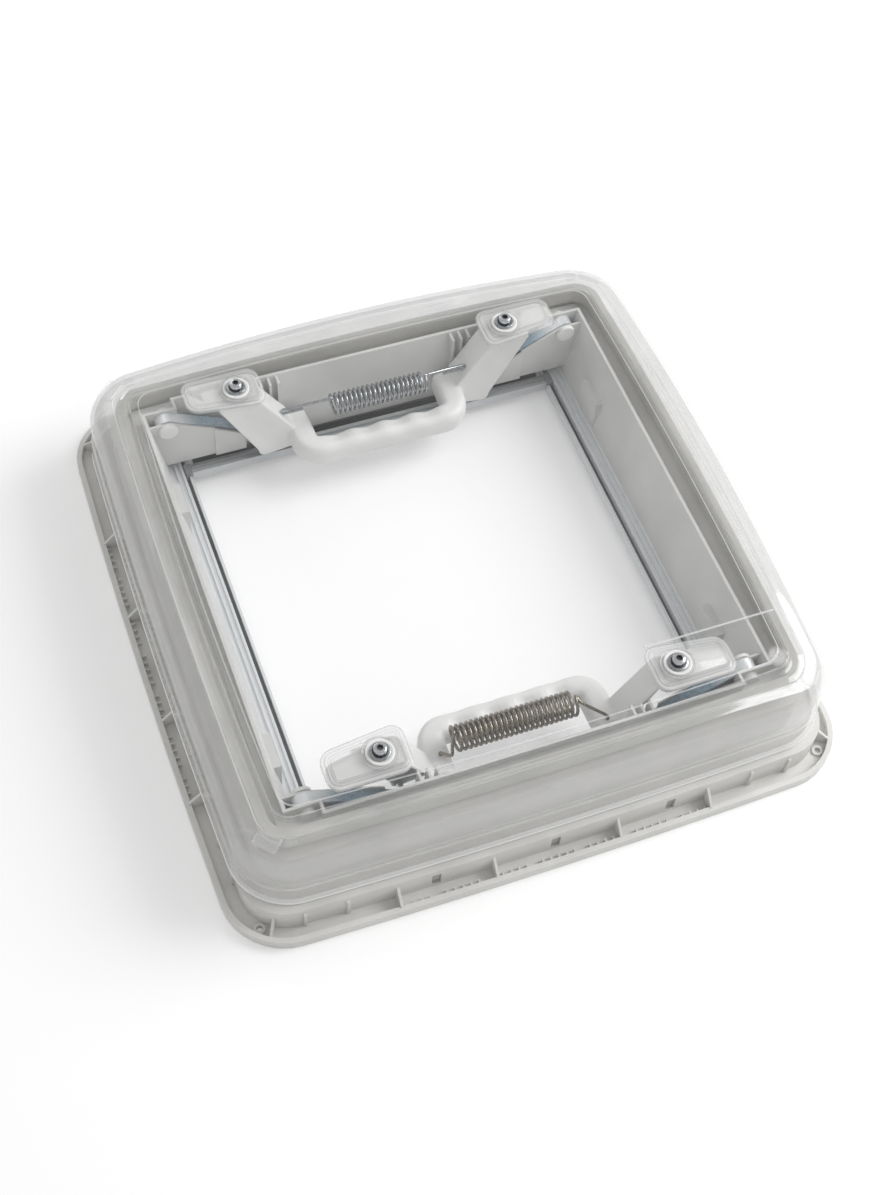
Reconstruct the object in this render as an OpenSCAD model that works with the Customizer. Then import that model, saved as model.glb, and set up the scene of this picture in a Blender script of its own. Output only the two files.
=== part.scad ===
// Roof vent for a caravan: a flanged frame with a lifting clear dome.
// Four flat levers are hinged to the frame. A pin at each lever's inner end runs in a
// curved groove inside a handle arm, so the dome and both handles rise level.
// Origin at the centre of the flange's underside, +Z up, +Y towards the rear handle.

/* [Flange and collar] */
// Width of the flange along X, at the middle of its sides
flange_w = 490; // [480:1:520]
// Depth of the flange along Y, at the middle of its sides
flange_d = 506; // [496:1:522]
// Outward bow of each side of the flange
side_bow = 5; // [0:0.5:8]
// Corner radius of the flange
flange_corner_r = 45; // [40:1:60]
// Thickness of the flange floor
floor_t = 3; // [2:0.25:4]
// Height of the flange rim
rim_h = 9; // [6:0.5:12]
// Thickness of the flange rim
rim_t = 4; // [2.5:0.25:5]
// Width of the flange floor between the rim and the collar
floor_w = 10; // [9:0.5:12]
// Thickness of the collar wall
collar_t = 3; // [2:0.25:4]
// Height of the deck on top of the collar
deck_z = 26; // [22:0.5:26.5]
// Distance of the riser, between the deck and the shelf, from the dome's lip
riser_in = 17; // [14:0.5:20]
// Height of the shelf on top of the riser
shelf_z = 63.5; // [60:0.5:65]
// Thickness of the shelf
shelf_t = 3; // [2:0.25:4]
// Radius of the roof screw holes in the flange corners
roof_hole_r = 2.25; // [1.5:0.25:3]
// Distance of a roof screw hole from the flange's edges
roof_hole_in = 24; // [23.5:0.25:24.5]

/* [Flange ribs] */
// Distance between the two middle cross ribs of a side
cross_rib_gap = 97; // [90:1:100]
// Distance from a middle cross rib to the next one outwards
cross_rib_pitch = 73; // [66:1:76]
// Thickness of the ribs on the flange
flange_rib_t = 2; // [1.5:0.25:3]
// Height of the cross ribs at the collar
cross_rib_h = 20; // [12:0.5:22]
// Pitch of the small ribs along the rim
tick_pitch = 6.2; // [5:0.1:8]
// Length of a small rib, in from the rim
tick_l = 4; // [2:0.5:6]
// Distance from the middle clip window to the others
window_pitch = 92; // [86:1:94]
// Width of a clip window in the collar
window_w = 7; // [5:0.5:12]
// Height of a clip window in the collar
window_h = 14; // [8:0.5:15]

/* [Well] */
// Distance from the dome's lip in to the well's top edge, along X
well_in_x = 48.5; // [47.5:0.1:50]
// Distance from the dome's lip in to the well's top edge, along Y
well_in_y = 42.8; // [42:0.1:43.5]
// Height of the well's top edge above the shelf
well_rise = 14.5; // [12.5:0.5:16]
// Height of the well's walls
well_h = 61; // [60:0.5:62]
// How far each wall leans in from top to bottom
well_lean = 12; // [9:0.5:12.5]
// Thickness of the well's walls
well_t = 2.5; // [2:0.25:3]
// Width of the ledge that hooks the well onto the shelf
ledge_w = 8; // [5:0.5:9]
// Distance from a pivot in to the first stiffening rib of the end wall
rib_in = 96.5; // [94:0.5:100]
// Distance from a pivot in to the tab of the end wall
tab_in = 63.5; // [60:0.5:66]
// Distance from a lever in to the tab of the side wall
side_tab_in = 71.5; // [66:0.5:76]
// Thickness of that ledge
ledge_t = 2.5; // [2:0.25:3]
// Number of stiffening ribs in each group on the walls
wall_ribs = 3; // [2:1:4]
// Pitch of the stiffening ribs
wall_rib_pitch = 7; // [6:0.5:8]

/* [Seal] */
// Distance of the seal's upstand from the dome's inner step, outwards
seal_offset = 3; // [2:0.5:5]
// Thickness of the upstand that carries the seal
upstand_t = 3; // [2:0.25:3.5]
// Height of the upstand above the shelf
upstand_h = 10; // [8:0.5:12]
// Thickness of the seal on each side of the upstand
seal_t = 2; // [1.5:0.25:2.5]

/* [Dome] */
// Distance of the dome's lip from the flange's edge, along X
lip_in_x = 11; // [9:0.5:13]
// Distance of the dome's lip from the flange's edge, along Y
lip_in_y = 19; // [17:0.5:21]
// Corner radius of the dome's lip
dome_corner_r = 42; // [38:1:48]
// Wall thickness of the dome
dome_t = 3; // [2.5:0.25:3.5]
// Gap between the dome's lip and the deck
lip_gap = 2; // [1:0.5:5]
// Height of the curve between the skirt and the crest
crown_h = 18; // [15.5:0.5:18.5]
// Height of the crest above the groove, at the middle of a side
crest_h = 10.5; // [9:0.5:12]
// Fall of the crest from the middle of a side to a corner
crest_fall = 9; // [0:0.5:12]
// Height of the groove inside the crest above the shelf
groove_rise = 23.5; // [22.5:0.5:25]
// Distance of the dome's inner step from its lip
step_in = 30; // [28:0.5:32]
// Height of the pane's edge above the groove
pane_h = 9; // [8.5:0.1:10]
// Rise of the pane's middle above its edge
pane_rise = 5; // [0:0.5:8]

/* [Handles] */
// Distance from a pivot in to a dome screw, along X
screw_in = 57; // [56:0.5:58.5]
// Distance from a lever's inner face in to a dome screw, along Y
screw_off = 4.5; // [4:0.5:5.5]
// Length of a handle's top plate
plate_l = 59; // [56:0.5:62]
// Depth of a handle's top plate
plate_d = 30; // [28:0.5:32]
// Thickness of a handle's top plate
plate_t = 4; // [3:0.25:4.5]
// Corner radius of a handle's top plate
plate_r = 8; // [4:0.5:10]
// How much narrower the plate is at its outer end
plate_taper = 7; // [0:0.5:9]
// Distance from a screw to the inner end of its plate
plate_in = 19; // [17:0.5:20]
// Width of a handle arm, along X
arm_w = 34; // [34:0.5:36]
// Thickness of a handle arm's web
web_t = 5.5; // [5:0.25:6]
// Distance from a lever's inner face in to the web's inner face
web_in = 17.5; // [17.5:0.5:19]
// Thickness of the arm's inner side
ramp_t = 2.5; // [2:0.25:2.75]
// Distance from the web's inner face in to the grip's middle
grip_in = 20.5; // [19:0.5:23]
// Distance from a screw in to the middle of a grip leg, along X
leg_in = 47.5; // [46.5:0.5:49.5]
// Depth of the grip
grip_d = 19; // [16:0.5:20]
// Width of a grip leg
leg_w = 21; // [18:0.5:22]
// Depth of the grip's underside below the lever pivots
grip_below = 42; // [40.5:0.5:43]
// Height of the grip
grip_h = 22; // [18:0.5:23]
// Number of finger hollows in the grip
fingers = 4; // [3:1:5]
// Depth of the finger hollows at the edge that faces the wall
finger_depth = 3.5; // [1:0.5:4]

/* [Levers] */
// Distance from the well's side wall in to a lever's pivot
pivot_in = 15; // [14:0.5:16.5]
// Depth of the lever pivots below the well's top edge
pivot_below = 10; // [9.5:0.5:11]
// Length of a lever from its pivot to its guide pin
lever_l = 86; // [85:0.5:87]
// Width of a lever
lever_w = 17; // [14:0.5:18]
// Thickness of a lever's upright plate
lever_t = 3; // [2:0.25:3]
// Thickness of the strip along a lever's top edge
strip_t = 2; // [1.5:0.25:2.5]
// Reach of the strip to each side of the upright plate
strip_reach = 3; // [2:0.25:3]
// Distance from the well's end wall in to a lever's inner face
lever_in = 15.7; // [15.2:0.1:16]
// Slope of the closed levers, down towards their inner ends
lever_slope = 28; // [27:0.5:29]
// Turn of each lever from closed to fully open
lever_turn = 78; // [70:1:80]
// Lift of the dome from closed to fully open
dome_lift = 65; // [60:0.5:66]
// Radius of the guide pins
guide_r = 2.5; // [2:0.25:2.75]
// Radius of the pivot pins
pivot_r = 4; // [3:0.25:4.5]
// Radius of the white pivot caps
cap_r = 7.8; // [7:0.1:8.4]
// Depth of the white pivot caps
cap_l = 8; // [6:0.5:9]

/* [Springs] */
// Diameter of the spring wire
wire_d = 2; // [1.6:0.1:2.2]
// Depth of the springs' axes below the handles' plates
spring_below = 26.5; // [25:0.1:27]
// Distance from the web's inner face out to the springs' axes
spring_off = 2; // [1:0.5:3]
// Pitch of the springs' curls
curl_pitch = 4; // [3.8:0.1:4.6]
// Mean radius of the rear spring
rear_coil_r = 8; // [7:0.25:8.5]
// Share of the way between the arms that the rear spring's coil fills
rear_fill = 0.49; // [0.47:0.01:0.51]
// Mean radius of the front spring
front_coil_r = 9.25; // [8:0.25:9.5]
// Share of the way between the arms that the front spring's coil fills
front_fill = 0.59; // [0.57:0.01:0.6]

/* [Fasteners] */
// Radius of a dome screw's shank
shank_r = 3; // [2.5:0.25:3]
// Radius of a dome screw's head
head_r = 5.6; // [5:0.1:6]
// Height of a dome screw's head
head_h = 5; // [4:0.5:6]
// Width across the flats of the hexagon socket
socket_w = 5; // [4:0.5:6]
// Radius of the steel washers
washer_r = 8.8; // [8:0.1:10]
// Thickness of the steel washers
washer_t = 1.2; // [0.8:0.1:1.6]
// Radius of the plastic sealing washers
cup_r = 12.5; // [11:0.5:13.5]
// Thickness of the plastic sealing washers
cup_t = 1.5; // [1:0.1:2]

/* [Screen] */
// Reach of the rails in past the bottom of the well's walls
rail_reach = 16.5; // [15.5:0.5:18.5]
// Reach of the rails out under the well's walls
rail_cover = 10.5; // [8.5:0.5:11.5]
// Thickness of the rails and cross bars
rail_t = 12; // [10:0.5:14]
// Reach of the rails' ends past the bottom of the well's end walls
rail_over = 4.8; // [3:0.1:6.5]
// Width of the slot that guides the screen
slot_w = 3.5; // [3:0.25:4.5]
// Depth of that slot
slot_depth = 8; // [7:0.25:8.5]
// Number of shallow grooves beside the slot
rail_grooves = 2; // [1:1:2]
// Distance of the pull bar's middle from the rails' rear ends
bar_in = 17.5; // [17:0.1:19]
// Depth of the pull bar, along Y
bar_d = 9; // [8:0.5:10]
// Height of the pull bar
bar_h = 9; // [8:0.5:9.5]
// Number of folds of the parked screen
folds = 5; // [4:1:6]

/* [Clearances] */
// Gap between parts that move past each other
run_gap = 0.3; // [0.25:0.05:0.4]
// Radial gap of a lever on its pivot pin
pivot_gap = 0.05; // [0.02:0.01:0.1]
// Gap on each side of a guide pin in its groove
groove_gap = 0.3; // [0.2:0.05:0.35]

/* [Hidden] */
$fn = 48;
eps = 0.01;
// Vertices of a corner and of a side in the bowed outlines
corner_steps = 8;
side_steps = 6;
// The collar stands inside the floor, and the upstand follows the dome's step
collar_in = rim_t + floor_w;
roof_hole_x = flange_w / 2 - roof_hole_in;
roof_hole_y = flange_d / 2 - roof_hole_in;
dome_w = flange_w - 2 * lip_in_x;
dome_d = flange_d - 2 * lip_in_y;
lip_z = deck_z + lip_gap;
riser_at = dome_w / 2 - riser_in;
step_at = dome_w / 2 - step_in;
upstand_at = step_at + seal_offset;
roof_boss_r = 4.4;
tick_t = 1.2;
window_z = 6;
groove_z = shelf_z + groove_rise;
crest_z = groove_z + crest_h;
shoulder_z = crest_z - crown_h;
pane_z = groove_z + pane_h;
seal_groove_z = shelf_z + upstand_h;
seal_top_z = groove_z - dome_t - run_gap;
// The well, the pivots and the walls that carry them
well_w = dome_w - 2 * well_in_x;
well_d = dome_d - 2 * well_in_y;
well_top_z = shelf_z + well_rise;
well_bottom_z = well_top_z - well_h;
pivot_x = well_w / 2 - pivot_in;
pivot_z = well_top_z - pivot_below;
lever_y = well_d / 2 - lever_in;
block_y = lever_y + lever_t + strip_reach + run_gap;
block_h = 24;
jog_x = pivot_x - 10.8;
jog_t = 2.3;
pin_seat = 5.5;
pin_boss_r = pivot_r + 2.5;
cap_y = lever_y - run_gap;
cap_seat = 5;
cap_neck_r = pivot_r + 1.4;
// Ribs and tabs on the well's walls
wall_rib_x = pivot_x - rib_in;
wall_rib_h = 41;
tab_x = pivot_x - tab_in;
tab_w = 32;
tab_h = 20;
side_tab_y = lever_y - side_tab_in;
side_tab_w = 29;
side_tab_h = 30;
// The handles hang from the pane
pad_top_z = pane_z + 1.2;
pad_step = 0.6;
plate_top_z = pane_z - dome_t;
plate_z = plate_top_z - plate_t;
screw_x = pivot_x - screw_in;
screw_y = lever_y - screw_off;
plate_y = screw_y + 2;
pad_reach = 5;
boss_r = 5.2;
boss_h = 12;
arm_in_top = screw_x - plate_in + 3;
arm_run = 27;
web_y = lever_y - web_in;
ramp_over = 5.5;
ramp_back_y = lever_y + ramp_over;
leg_x = screw_x - leg_in;
leg_over = 1;
leg_back_y = lever_y + leg_over;
grip_y = web_y - grip_in;
grip_z = pivot_z - grip_below;
arm_foot_z = grip_z + grip_h;
leg_corner_r = 12;
grip_round = 7;
spring_peg_gap = run_gap;
// The guide pin's place beside the handle, after a lever has turned by a
function guide_at(a) = [
    pivot_x - lever_l * cos(a - lever_slope),
    pivot_z + lever_l * sin(a - lever_slope) - dome_lift * a / lever_turn
];
foot_r = 6;
foot_out = guide_at(0).x + foot_r;
foot_z = guide_at(0).y - foot_r;
groove_half = guide_r + groove_gap;
groove_depth = 3.5;
groove_steps = 24;
groove_over = 1;
// The rails lie under the well
rail_in = well_w / 2 - well_lean - rail_reach;
rail_out = well_w / 2 - well_lean + rail_cover;
rail_half_l = well_d / 2 - well_lean + rail_over;
rail_z = well_bottom_z - rail_t;
lip_t = 2;
lip_drop = 3;
bar_z = well_bottom_z - 8.5;
bar_y = rail_half_l - bar_in;
bar_half_l = rail_in - 1;
tongue_t = 1.6;
slider_l = 10;

function unit(v) = v / norm(v);

// A rounded rectangle whose four sides bow outwards
function corner_of(hx, hy, r, q, i) = let (
    a = 90 * (q + i / corner_steps),
    sx = q == 0 || q == 3 ? 1 : -1,
    sy = q < 2 ? 1 : -1
) [sx * (hx - r) + r * cos(a), sy * (hy - r) + r * sin(a)];
function square_loop(hx, hy, r) = [
    for (q = [0:3]) each concat(
        [for (i = [0:corner_steps]) corner_of(hx, hy, r, q, i)],
        [for (i = [1:side_steps - 1]) let (
            a = corner_of(hx, hy, r, q, corner_steps),
            b = corner_of(hx, hy, r, (q + 1) % 4, 0)
        ) a + (b - a) * i / side_steps]
    )
];
function side_share(p, hx, hy) = 1 - pow(min(abs(p.x) / hx, abs(p.y) / hy), 2);
function bowed_loop(hx, hy, r, bow) = [
    for (p = square_loop(hx - bow, hy - bow, r)) [
        p.x * (1 + bow / hx * (1 - pow(p.y / hy, 2))),
        p.y * (1 + bow / hy * (1 - pow(p.x / hx, 2)))
    ]
];

// A plate with the flange's outline, drawn in by inset
module flange_plate(inset, z, h) {
    translate([0, 0, z])
        linear_extrude(h)
            polygon(bowed_loop(flange_w / 2 - inset, flange_d / 2 - inset,
                flange_corner_r - inset, side_bow));
}

// A plate with the dome's outline at a distance from its centre
module dome_plate(at, z, h) {
    inset = dome_w / 2 - at;
    translate([0, 0, z])
        linear_extrude(h)
            polygon(bowed_loop(at, dome_d / 2 - inset, max(dome_corner_r - inset, 12), side_bow));
}

// A solid with four leaning walls
module funnel(top_w, top_d, lean, z0, z1) {
    intersection() {
        rotate([90, 0, 0])
            linear_extrude(top_d + 20, center = true)
                polygon([[-top_w / 2, z1], [-top_w / 2 + lean, z0],
                    [top_w / 2 - lean, z0], [top_w / 2, z1]]);
        rotate([90, 0, 90])
            linear_extrude(top_w + 20, center = true)
                polygon([[-top_d / 2, z1], [-top_d / 2 + lean, z0],
                    [top_d / 2 - lean, z0], [top_d / 2, z1]]);
    }
}

// A skin over rings of points that turn left about their line, closed at both ends
module skin(rings) {
    n = len(rings[0]);
    last = len(rings) - 1;
    polyhedron(
        points = [for (ring = rings) each ring],
        faces = concat(
            [[for (i = [0:n - 1]) i]],
            [for (k = [0:last - 1], i = [0:n - 1]) let (j = (i + 1) % n)
                [k * n + i, (k + 1) * n + j, k * n + j]],
            [for (k = [0:last - 1], i = [0:n - 1]) let (j = (i + 1) % n)
                [k * n + i, (k + 1) * n + i, (k + 1) * n + j]],
            [[for (i = [n - 1:-1:0]) last * n + i]]
        ),
        convexity = 10
    );
}

// The four flange sides in turn, each drawn along +X at the front
module each_side() {
    for (q = [0:3])
        rotate(90 * q)
            translate([0, -(q % 2 == 0 ? flange_d : flange_w) / 2, 0])
                children();
}

// One side's ribs: cross ribs from rim to collar, and small ribs along the rim
module side_ribs() {
    middle = cross_rib_gap / 2;
    outer = middle + cross_rib_pitch;
    for (x = [-outer, -middle, middle, outer])
        translate([x - flange_rib_t / 2, rim_t - 1, floor_t - eps])
            rotate([90, 0, 90])
                linear_extrude(flange_rib_t)
                    polygon([[0, 0], [floor_w + 3, 0], [floor_w + 3, cross_rib_h - floor_t],
                        [floor_w + 1, cross_rib_h - floor_t], [0, rim_h - floor_t - 0.5]]);
    count = floor(outer / tick_pitch);
    for (i = [-count:count])
        if (abs(i) % 6 != 3)
            translate([i * tick_pitch - tick_t / 2, rim_t - 1, floor_t - eps])
                cube([tick_t, tick_l + 1, rim_h - floor_t - 2.5]);
}

module outer_frame() {
    color("#C9C8C4")
        difference() {
            union() {
                flange_plate(0, 0, floor_t);
                difference() {
                    flange_plate(0, 0, rim_h);
                    flange_plate(rim_t, -1, rim_h + 2);
                }
                flange_plate(collar_in, 0, deck_z);
                dome_plate(riser_at, 0, shelf_z);
                dome_plate(upstand_at + upstand_t / 2, shelf_z - shelf_t, upstand_h + shelf_t);
                each_side()
                    side_ribs();
                for (x = [-1, 1], y = [-1, 1])
                    translate([x * roof_hole_x, y * roof_hole_y, 0])
                        cylinder(r = roof_boss_r, h = floor_t + 1.5);
            }
            flange_plate(collar_in + collar_t, -1, deck_z - shelf_t + 1);
            dome_plate(riser_at - collar_t, -1, shelf_z - shelf_t + 1);
            dome_plate(upstand_at - upstand_t / 2, shelf_z, upstand_h + 1);
            translate([0, 0, shelf_z])
                cube([well_w + 2 * well_t, well_d + 2 * well_t, 2 * shelf_t + 2], center = true);
            for (x = [-1, 1], y = [-1, 1])
                translate([x * roof_hole_x, y * roof_hole_y, -1])
                    cylinder(r = roof_hole_r, h = floor_t + 4);
            each_side()
                for (k = [-1:1])
                    translate([k * window_pitch - window_w / 2, collar_in - 4, window_z])
                        cube([window_w, collar_t + 8, window_h]);
        }
}

// The end wall jogs in behind each lever and carries the pivot's pin there
module bearing_block() {
    translate([jog_x, block_y, well_top_z - block_h])
        cube([well_w / 2 - jog_x, well_d / 2 - block_y, block_h]);
}
module corner_cut() {
    translate([jog_x + jog_t, block_y + jog_t, shelf_z + ledge_t])
        cube([well_w, well_d, well_rise]);
}
module pin_boss(r, from, to) {
    translate([pivot_x, block_y + from, pivot_z])
        rotate([-90, 0, 0])
            cylinder(r = r, h = to - from);
}
module each_corner() {
    for (x = [0, 1], y = [0, 1])
        mirror([x, 0, 0])
            mirror([0, y, 0])
                children();
}

module inner_frame() {
    color("#C4C4C2")
        difference() {
            union() {
                difference() {
                    union() {
                        funnel(well_w + 2 * well_t, well_d + 2 * well_t, well_lean,
                            well_bottom_z, well_top_z);
                        translate([-well_w / 2 - ledge_w, -well_d / 2 - ledge_w, shelf_z])
                            cube([well_w + 2 * ledge_w, well_d + 2 * ledge_w, ledge_t]);
                    }
                    funnel(well_w, well_d, well_lean, well_bottom_z, well_top_z);
                    for (z = [well_bottom_z - 1, well_top_z - 1])
                        translate([0, 0, z + 1])
                            cube([well_w - 2 * well_lean, well_d - 2 * well_lean, 2], center = true);
                    each_corner()
                        corner_cut();
                }
                each_corner() {
                    intersection() {
                        difference() {
                            bearing_block();
                            corner_cut();
                        }
                        funnel(well_w + well_t, well_d + well_t, well_lean,
                            well_bottom_z, well_top_z);
                    }
                    pin_boss(pin_boss_r, 0, pin_seat + 1.5);
                }
                intersection() {
                    each_corner()
                        wall_details();
                    funnel(well_w + well_t, well_d + well_t, well_lean, well_bottom_z, well_top_z);
                }
            }
            each_corner()
                pin_boss(pivot_r, -1, pin_seat);
        }
}

// Stiffening ribs beside the arms and flat tabs low on the walls
module wall_details() {
    for (i = [0:wall_ribs - 1])
        translate([wall_rib_x + i * wall_rib_pitch, well_d / 2 - 9, well_top_z - wall_rib_h - 1])
            cube([2, 10, wall_rib_h]);
    translate([tab_x, lever_y + lever_t + 2 * run_gap, well_bottom_z])
        cube([tab_w, well_t + 10, tab_h]);
    translate([well_w / 2 - well_lean, side_tab_y, well_bottom_z])
        cube([10, side_tab_w, side_tab_h]);
}

module dome_seal() {
    color("#B4B3AF")
        difference() {
            dome_plate(upstand_at + upstand_t / 2 + seal_t, seal_groove_z - 4, seal_top_z - seal_groove_z + 4);
            dome_plate(upstand_at - upstand_t / 2 - seal_t, seal_groove_z - 5, seal_top_z);
            difference() {
                dome_plate(upstand_at + upstand_t / 2, seal_groove_z - 5, 5);
                dome_plate(upstand_at - upstand_t / 2, seal_groove_z - 6, 7);
            }
        }
}

// The dome's profile from the lip over the crest to the pane: distance from the
// centre, height, and how much of the crest's fall the point takes
shoulder_at = dome_w / 2 - 3;
pane_edge = 16;
function dome_profile(t) = concat(
    [[dome_w / 2 - t, lip_z, 0], [dome_w / 2 - 0.8 - t, lip_z + 2, 0],
        [dome_w / 2 - 1.6 - t, lip_z + 22, 0.2]],
    [for (a = [0:22.5:90]) [shoulder_at - crown_h + (crown_h - t) * cos(a),
        shoulder_z + (crown_h - t) * sin(a), 1]],
    [[step_at + 9 + t / 2, crest_z - t - 1, 1], [step_at + 3 + t / 2, groove_z - t + 1.5, 0],
        [step_at + 1, groove_z - t, 0], [step_at - 1.5, groove_z - t, 0],
        [step_at - 3 - t / 2, groove_z - t + 6, 0], [step_at - 9, pane_z - t - 1, 0],
        [step_at - pane_edge, pane_z - t, 0]]
);
function dome_ring(p) = let (
    inset = dome_w / 2 - p[0],
    hx = p[0],
    hy = dome_d / 2 - inset,
    bow = side_bow * hx / (dome_w / 2)
) [for (q = bowed_loop(hx, hy, max(dome_corner_r - inset, min(hx / 3, 14)), bow))
    [q.x, q.y, p[1] - crest_fall * p[2] * (1 - side_share(q, hx, hy))]];
// The pane's crown as rings: share of the pane's half width and of its rise
pane_shares = [[0.787, 0], [0.394, 0.75], [0.085, 1]];
function pane_ring(p, t) = let (
    hx = p[0] * (step_at - pane_edge),
    hy = p[0] * (step_at - pane_edge + (dome_d - dome_w) / 2)
) [for (q = bowed_loop(hx, hy, min(hx / 3, 14), side_bow * hx / (dome_w / 2)))
    [q.x, q.y, pane_z - t + pane_rise * p[1]]];
function dome_rings(t) = concat([for (p = dome_profile(t)) dome_ring(p)],
    [for (p = pane_shares) pane_ring(p, t)]);

// A handle's plate seen from above, narrower at its outer end, grown by extra and
// drawn out by inwards at its inner end
module plate_outline(extra, inwards = 0) {
    x0 = screw_x - plate_in + plate_r;
    x1 = screw_x - plate_in + plate_l - plate_r;
    y1 = plate_y + plate_d / 2 - plate_r;
    offset(r = plate_r + extra)
        polygon([[x0 - inwards, y1 - plate_d + 2 * plate_r],
            [x1, y1 - plate_d + 2 * plate_r + plate_taper], [x1, y1], [x0 - inwards, y1]]);
}
module dome_shell() {
    color([0.86, 0.86, 0.84, 0.5])
        difference() {
            union() {
                difference() {
                    skin(dome_rings(0));
                    skin(concat([dome_ring([dome_w / 2 - dome_t, lip_z - 5, 0])],
                        dome_rings(dome_t)));
                }
                each_corner()
                    translate([0, 0, plate_top_z]) {
                        linear_extrude(pad_top_z - plate_top_z - pad_step)
                            plate_outline(2, pad_reach);
                        linear_extrude(pad_top_z - plate_top_z)
                            plate_outline(-1);
                    }
            }
            each_corner() {
                translate([screw_x, screw_y, plate_top_z - 1])
                    cylinder(r = shank_r + run_gap, h = dome_t + 4);
                translate([0, 0, plate_z])
                    linear_extrude(plate_t)
                        plate_outline(0.5);
            }
        }
}

// The middle line of the grip: up one leg, along the bar and back down the other leg
function grip_line() = concat(
    [[leg_x, leg_back_y], [leg_x - 1, leg_back_y - 11]],
    [for (a = [0:-15:-90]) [leg_x - 1.5 - leg_corner_r + leg_corner_r * cos(a),
        grip_y + leg_corner_r + leg_corner_r * sin(a)]],
    [for (i = [1:fingers * 6 - 1]) [(leg_x - 1.5 - leg_corner_r) * (1 - i / (fingers * 3)), grip_y]],
    [for (a = [-90:-15:-180]) [-(leg_x - 1.5 - leg_corner_r) + leg_corner_r * cos(a),
        grip_y + leg_corner_r + leg_corner_r * sin(a)]],
    [[-leg_x + 1, leg_back_y - 11], [-leg_x, leg_back_y]]
);
// Finger hollows are a row of waves in the top of the bar, shallow at its inner edge
function hollow_at(x) = let (
    span = (leg_x - 1.5 - leg_corner_r) * 2,
    s = (x + span / 2) / span * fingers
) s < 0 || s > fingers ? 0 : finger_depth * (1 - cos(360 * s)) / 2;
function grip_section(w, top_drop) = [
    for (q = [0:3], i = [0:3]) let (
        a = 90 * q + 30 * i,
        sx = q == 0 || q == 3 ? 1 : -1,
        sz = q < 2 ? 1 : -1,
        h = grip_h - (sz > 0 ? top_drop * (sx < 0 ? 1 : 0.35) : 0)
    ) [sx * (w / 2 - grip_round) + grip_round * cos(a),
        (sz > 0 ? h - grip_round : grip_round) + grip_round * sin(a)]
];
function grip_rings() = let (line = grip_line(), last = len(line) - 1) [
    for (i = [0:last]) let (
        p = line[i],
        t = unit(line[min(i + 1, last)] - line[max(i - 1, 0)]),
        n = [-t.y, t.x],
        along_bar = abs(t.x),
        w = leg_w + (grip_d - leg_w) * along_bar
    ) [for (q = grip_section(w, abs(p.y - grip_y) < 1 ? hollow_at(p.x) : 0))
        [p.x + n.x * q.x, p.y + n.y * q.x, grip_z + q.y]]
];

// The arm's outline seen along Y, its foot rounded where the guide pin parks
module arm_outline() {
    polygon([[arm_in_top, plate_z + 1], [arm_in_top + arm_w, plate_z + 1],
        [foot_out + 1, foot_z + foot_r * 1.5], [foot_out - foot_r, foot_z], [leg_x + 4, foot_z + 4],
        [leg_x + 4, arm_foot_z], [arm_in_top - arm_run, arm_foot_z]]);
    translate([foot_out - foot_r, foot_z + foot_r])
        circle(foot_r);
}

// The groove that a guide pin runs in, as the band around the pin's path
module guide_groove() {
    span = lever_turn + 2 * groove_over;
    path = [for (i = [0:groove_steps]) guide_at(span * i / groove_steps - groove_over)];
    tangent = [for (i = [0:groove_steps])
        unit(path[min(i + 1, groove_steps)] - path[max(i - 1, 0)])];
    polygon(concat(
        [for (i = [0:groove_steps]) path[i] + groove_half * [-tangent[i].y, tangent[i].x]],
        [for (i = [groove_steps:-1:0]) path[i] - groove_half * [-tangent[i].y, tangent[i].x]]
    ));
    for (a = [0, lever_turn])
        translate(guide_at(a))
            circle(groove_half);
}

// Stands a drawing of X and Z up, from y0 towards +Y
module upright(y0, d) {
    translate([0, y0 + d, 0])
        rotate([90, 0, 0])
            linear_extrude(d)
                children();
}

module handle_arm() {
    difference() {
        union() {
            upright(web_y, web_t)
                arm_outline();
            upright(web_y, ramp_back_y - web_y)
                polygon([[arm_in_top, plate_z + 1], [arm_in_top + ramp_t * 1.15, plate_z + 1],
                    [arm_in_top - arm_run + ramp_t * 1.15, arm_foot_z],
                    [arm_in_top - arm_run, arm_foot_z]]);
            translate([0, 0, plate_z])
                linear_extrude(plate_t)
                    plate_outline(0);
            translate([screw_x, screw_y, plate_z - boss_h])
                cylinder(r = boss_r, h = boss_h + 1);
        }
        upright(web_y + web_t - groove_depth, groove_depth + 1)
            guide_groove();
        translate([screw_x, screw_y, plate_z - boss_h - 1])
            cylinder(r = shank_r, h = boss_h + plate_t + 2);
    }
}

module handle() {
    color("#E8E8E6") {
        skin(grip_rings());
        for (x = [0, 1])
            mirror([x, 0, 0])
                handle_arm();
    }
}
module handle_rear() {
    handle();
}
module handle_front() {
    rotate(180)
        handle();
}

module at_dome_screws(z) {
    for (x = [-1, 1], y = [-1, 1])
        translate([x * screw_x, y * screw_y, z])
            children();
}
module dome_screws() {
    shank_l = pad_top_z + cup_t + washer_t - plate_z + boss_h - 1;
    color("#C8CACB")
        at_dome_screws(pad_top_z + cup_t + washer_t)
            difference() {
                union() {
                    cylinder(r = head_r, h = head_h);
                    translate([0, 0, -shank_l])
                        cylinder(r = shank_r, h = shank_l + eps);
                }
                translate([0, 0, head_h / 2])
                    cylinder(r = socket_w / sqrt(3), h = head_h, $fn = 6);
            }
}
module washer(r, t) {
    difference() {
        cylinder(r = r, h = t);
        translate([0, 0, -1])
            cylinder(r = shank_r + run_gap, h = t + 2);
    }
}
module screw_washers() {
    color("#A9ACAE")
        at_dome_screws(pad_top_z + cup_t)
            washer(washer_r, washer_t);
}
module sealing_washers() {
    color("#EDEDEB")
        at_dome_screws(pad_top_z)
            washer(cup_r, cup_t);
}

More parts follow.
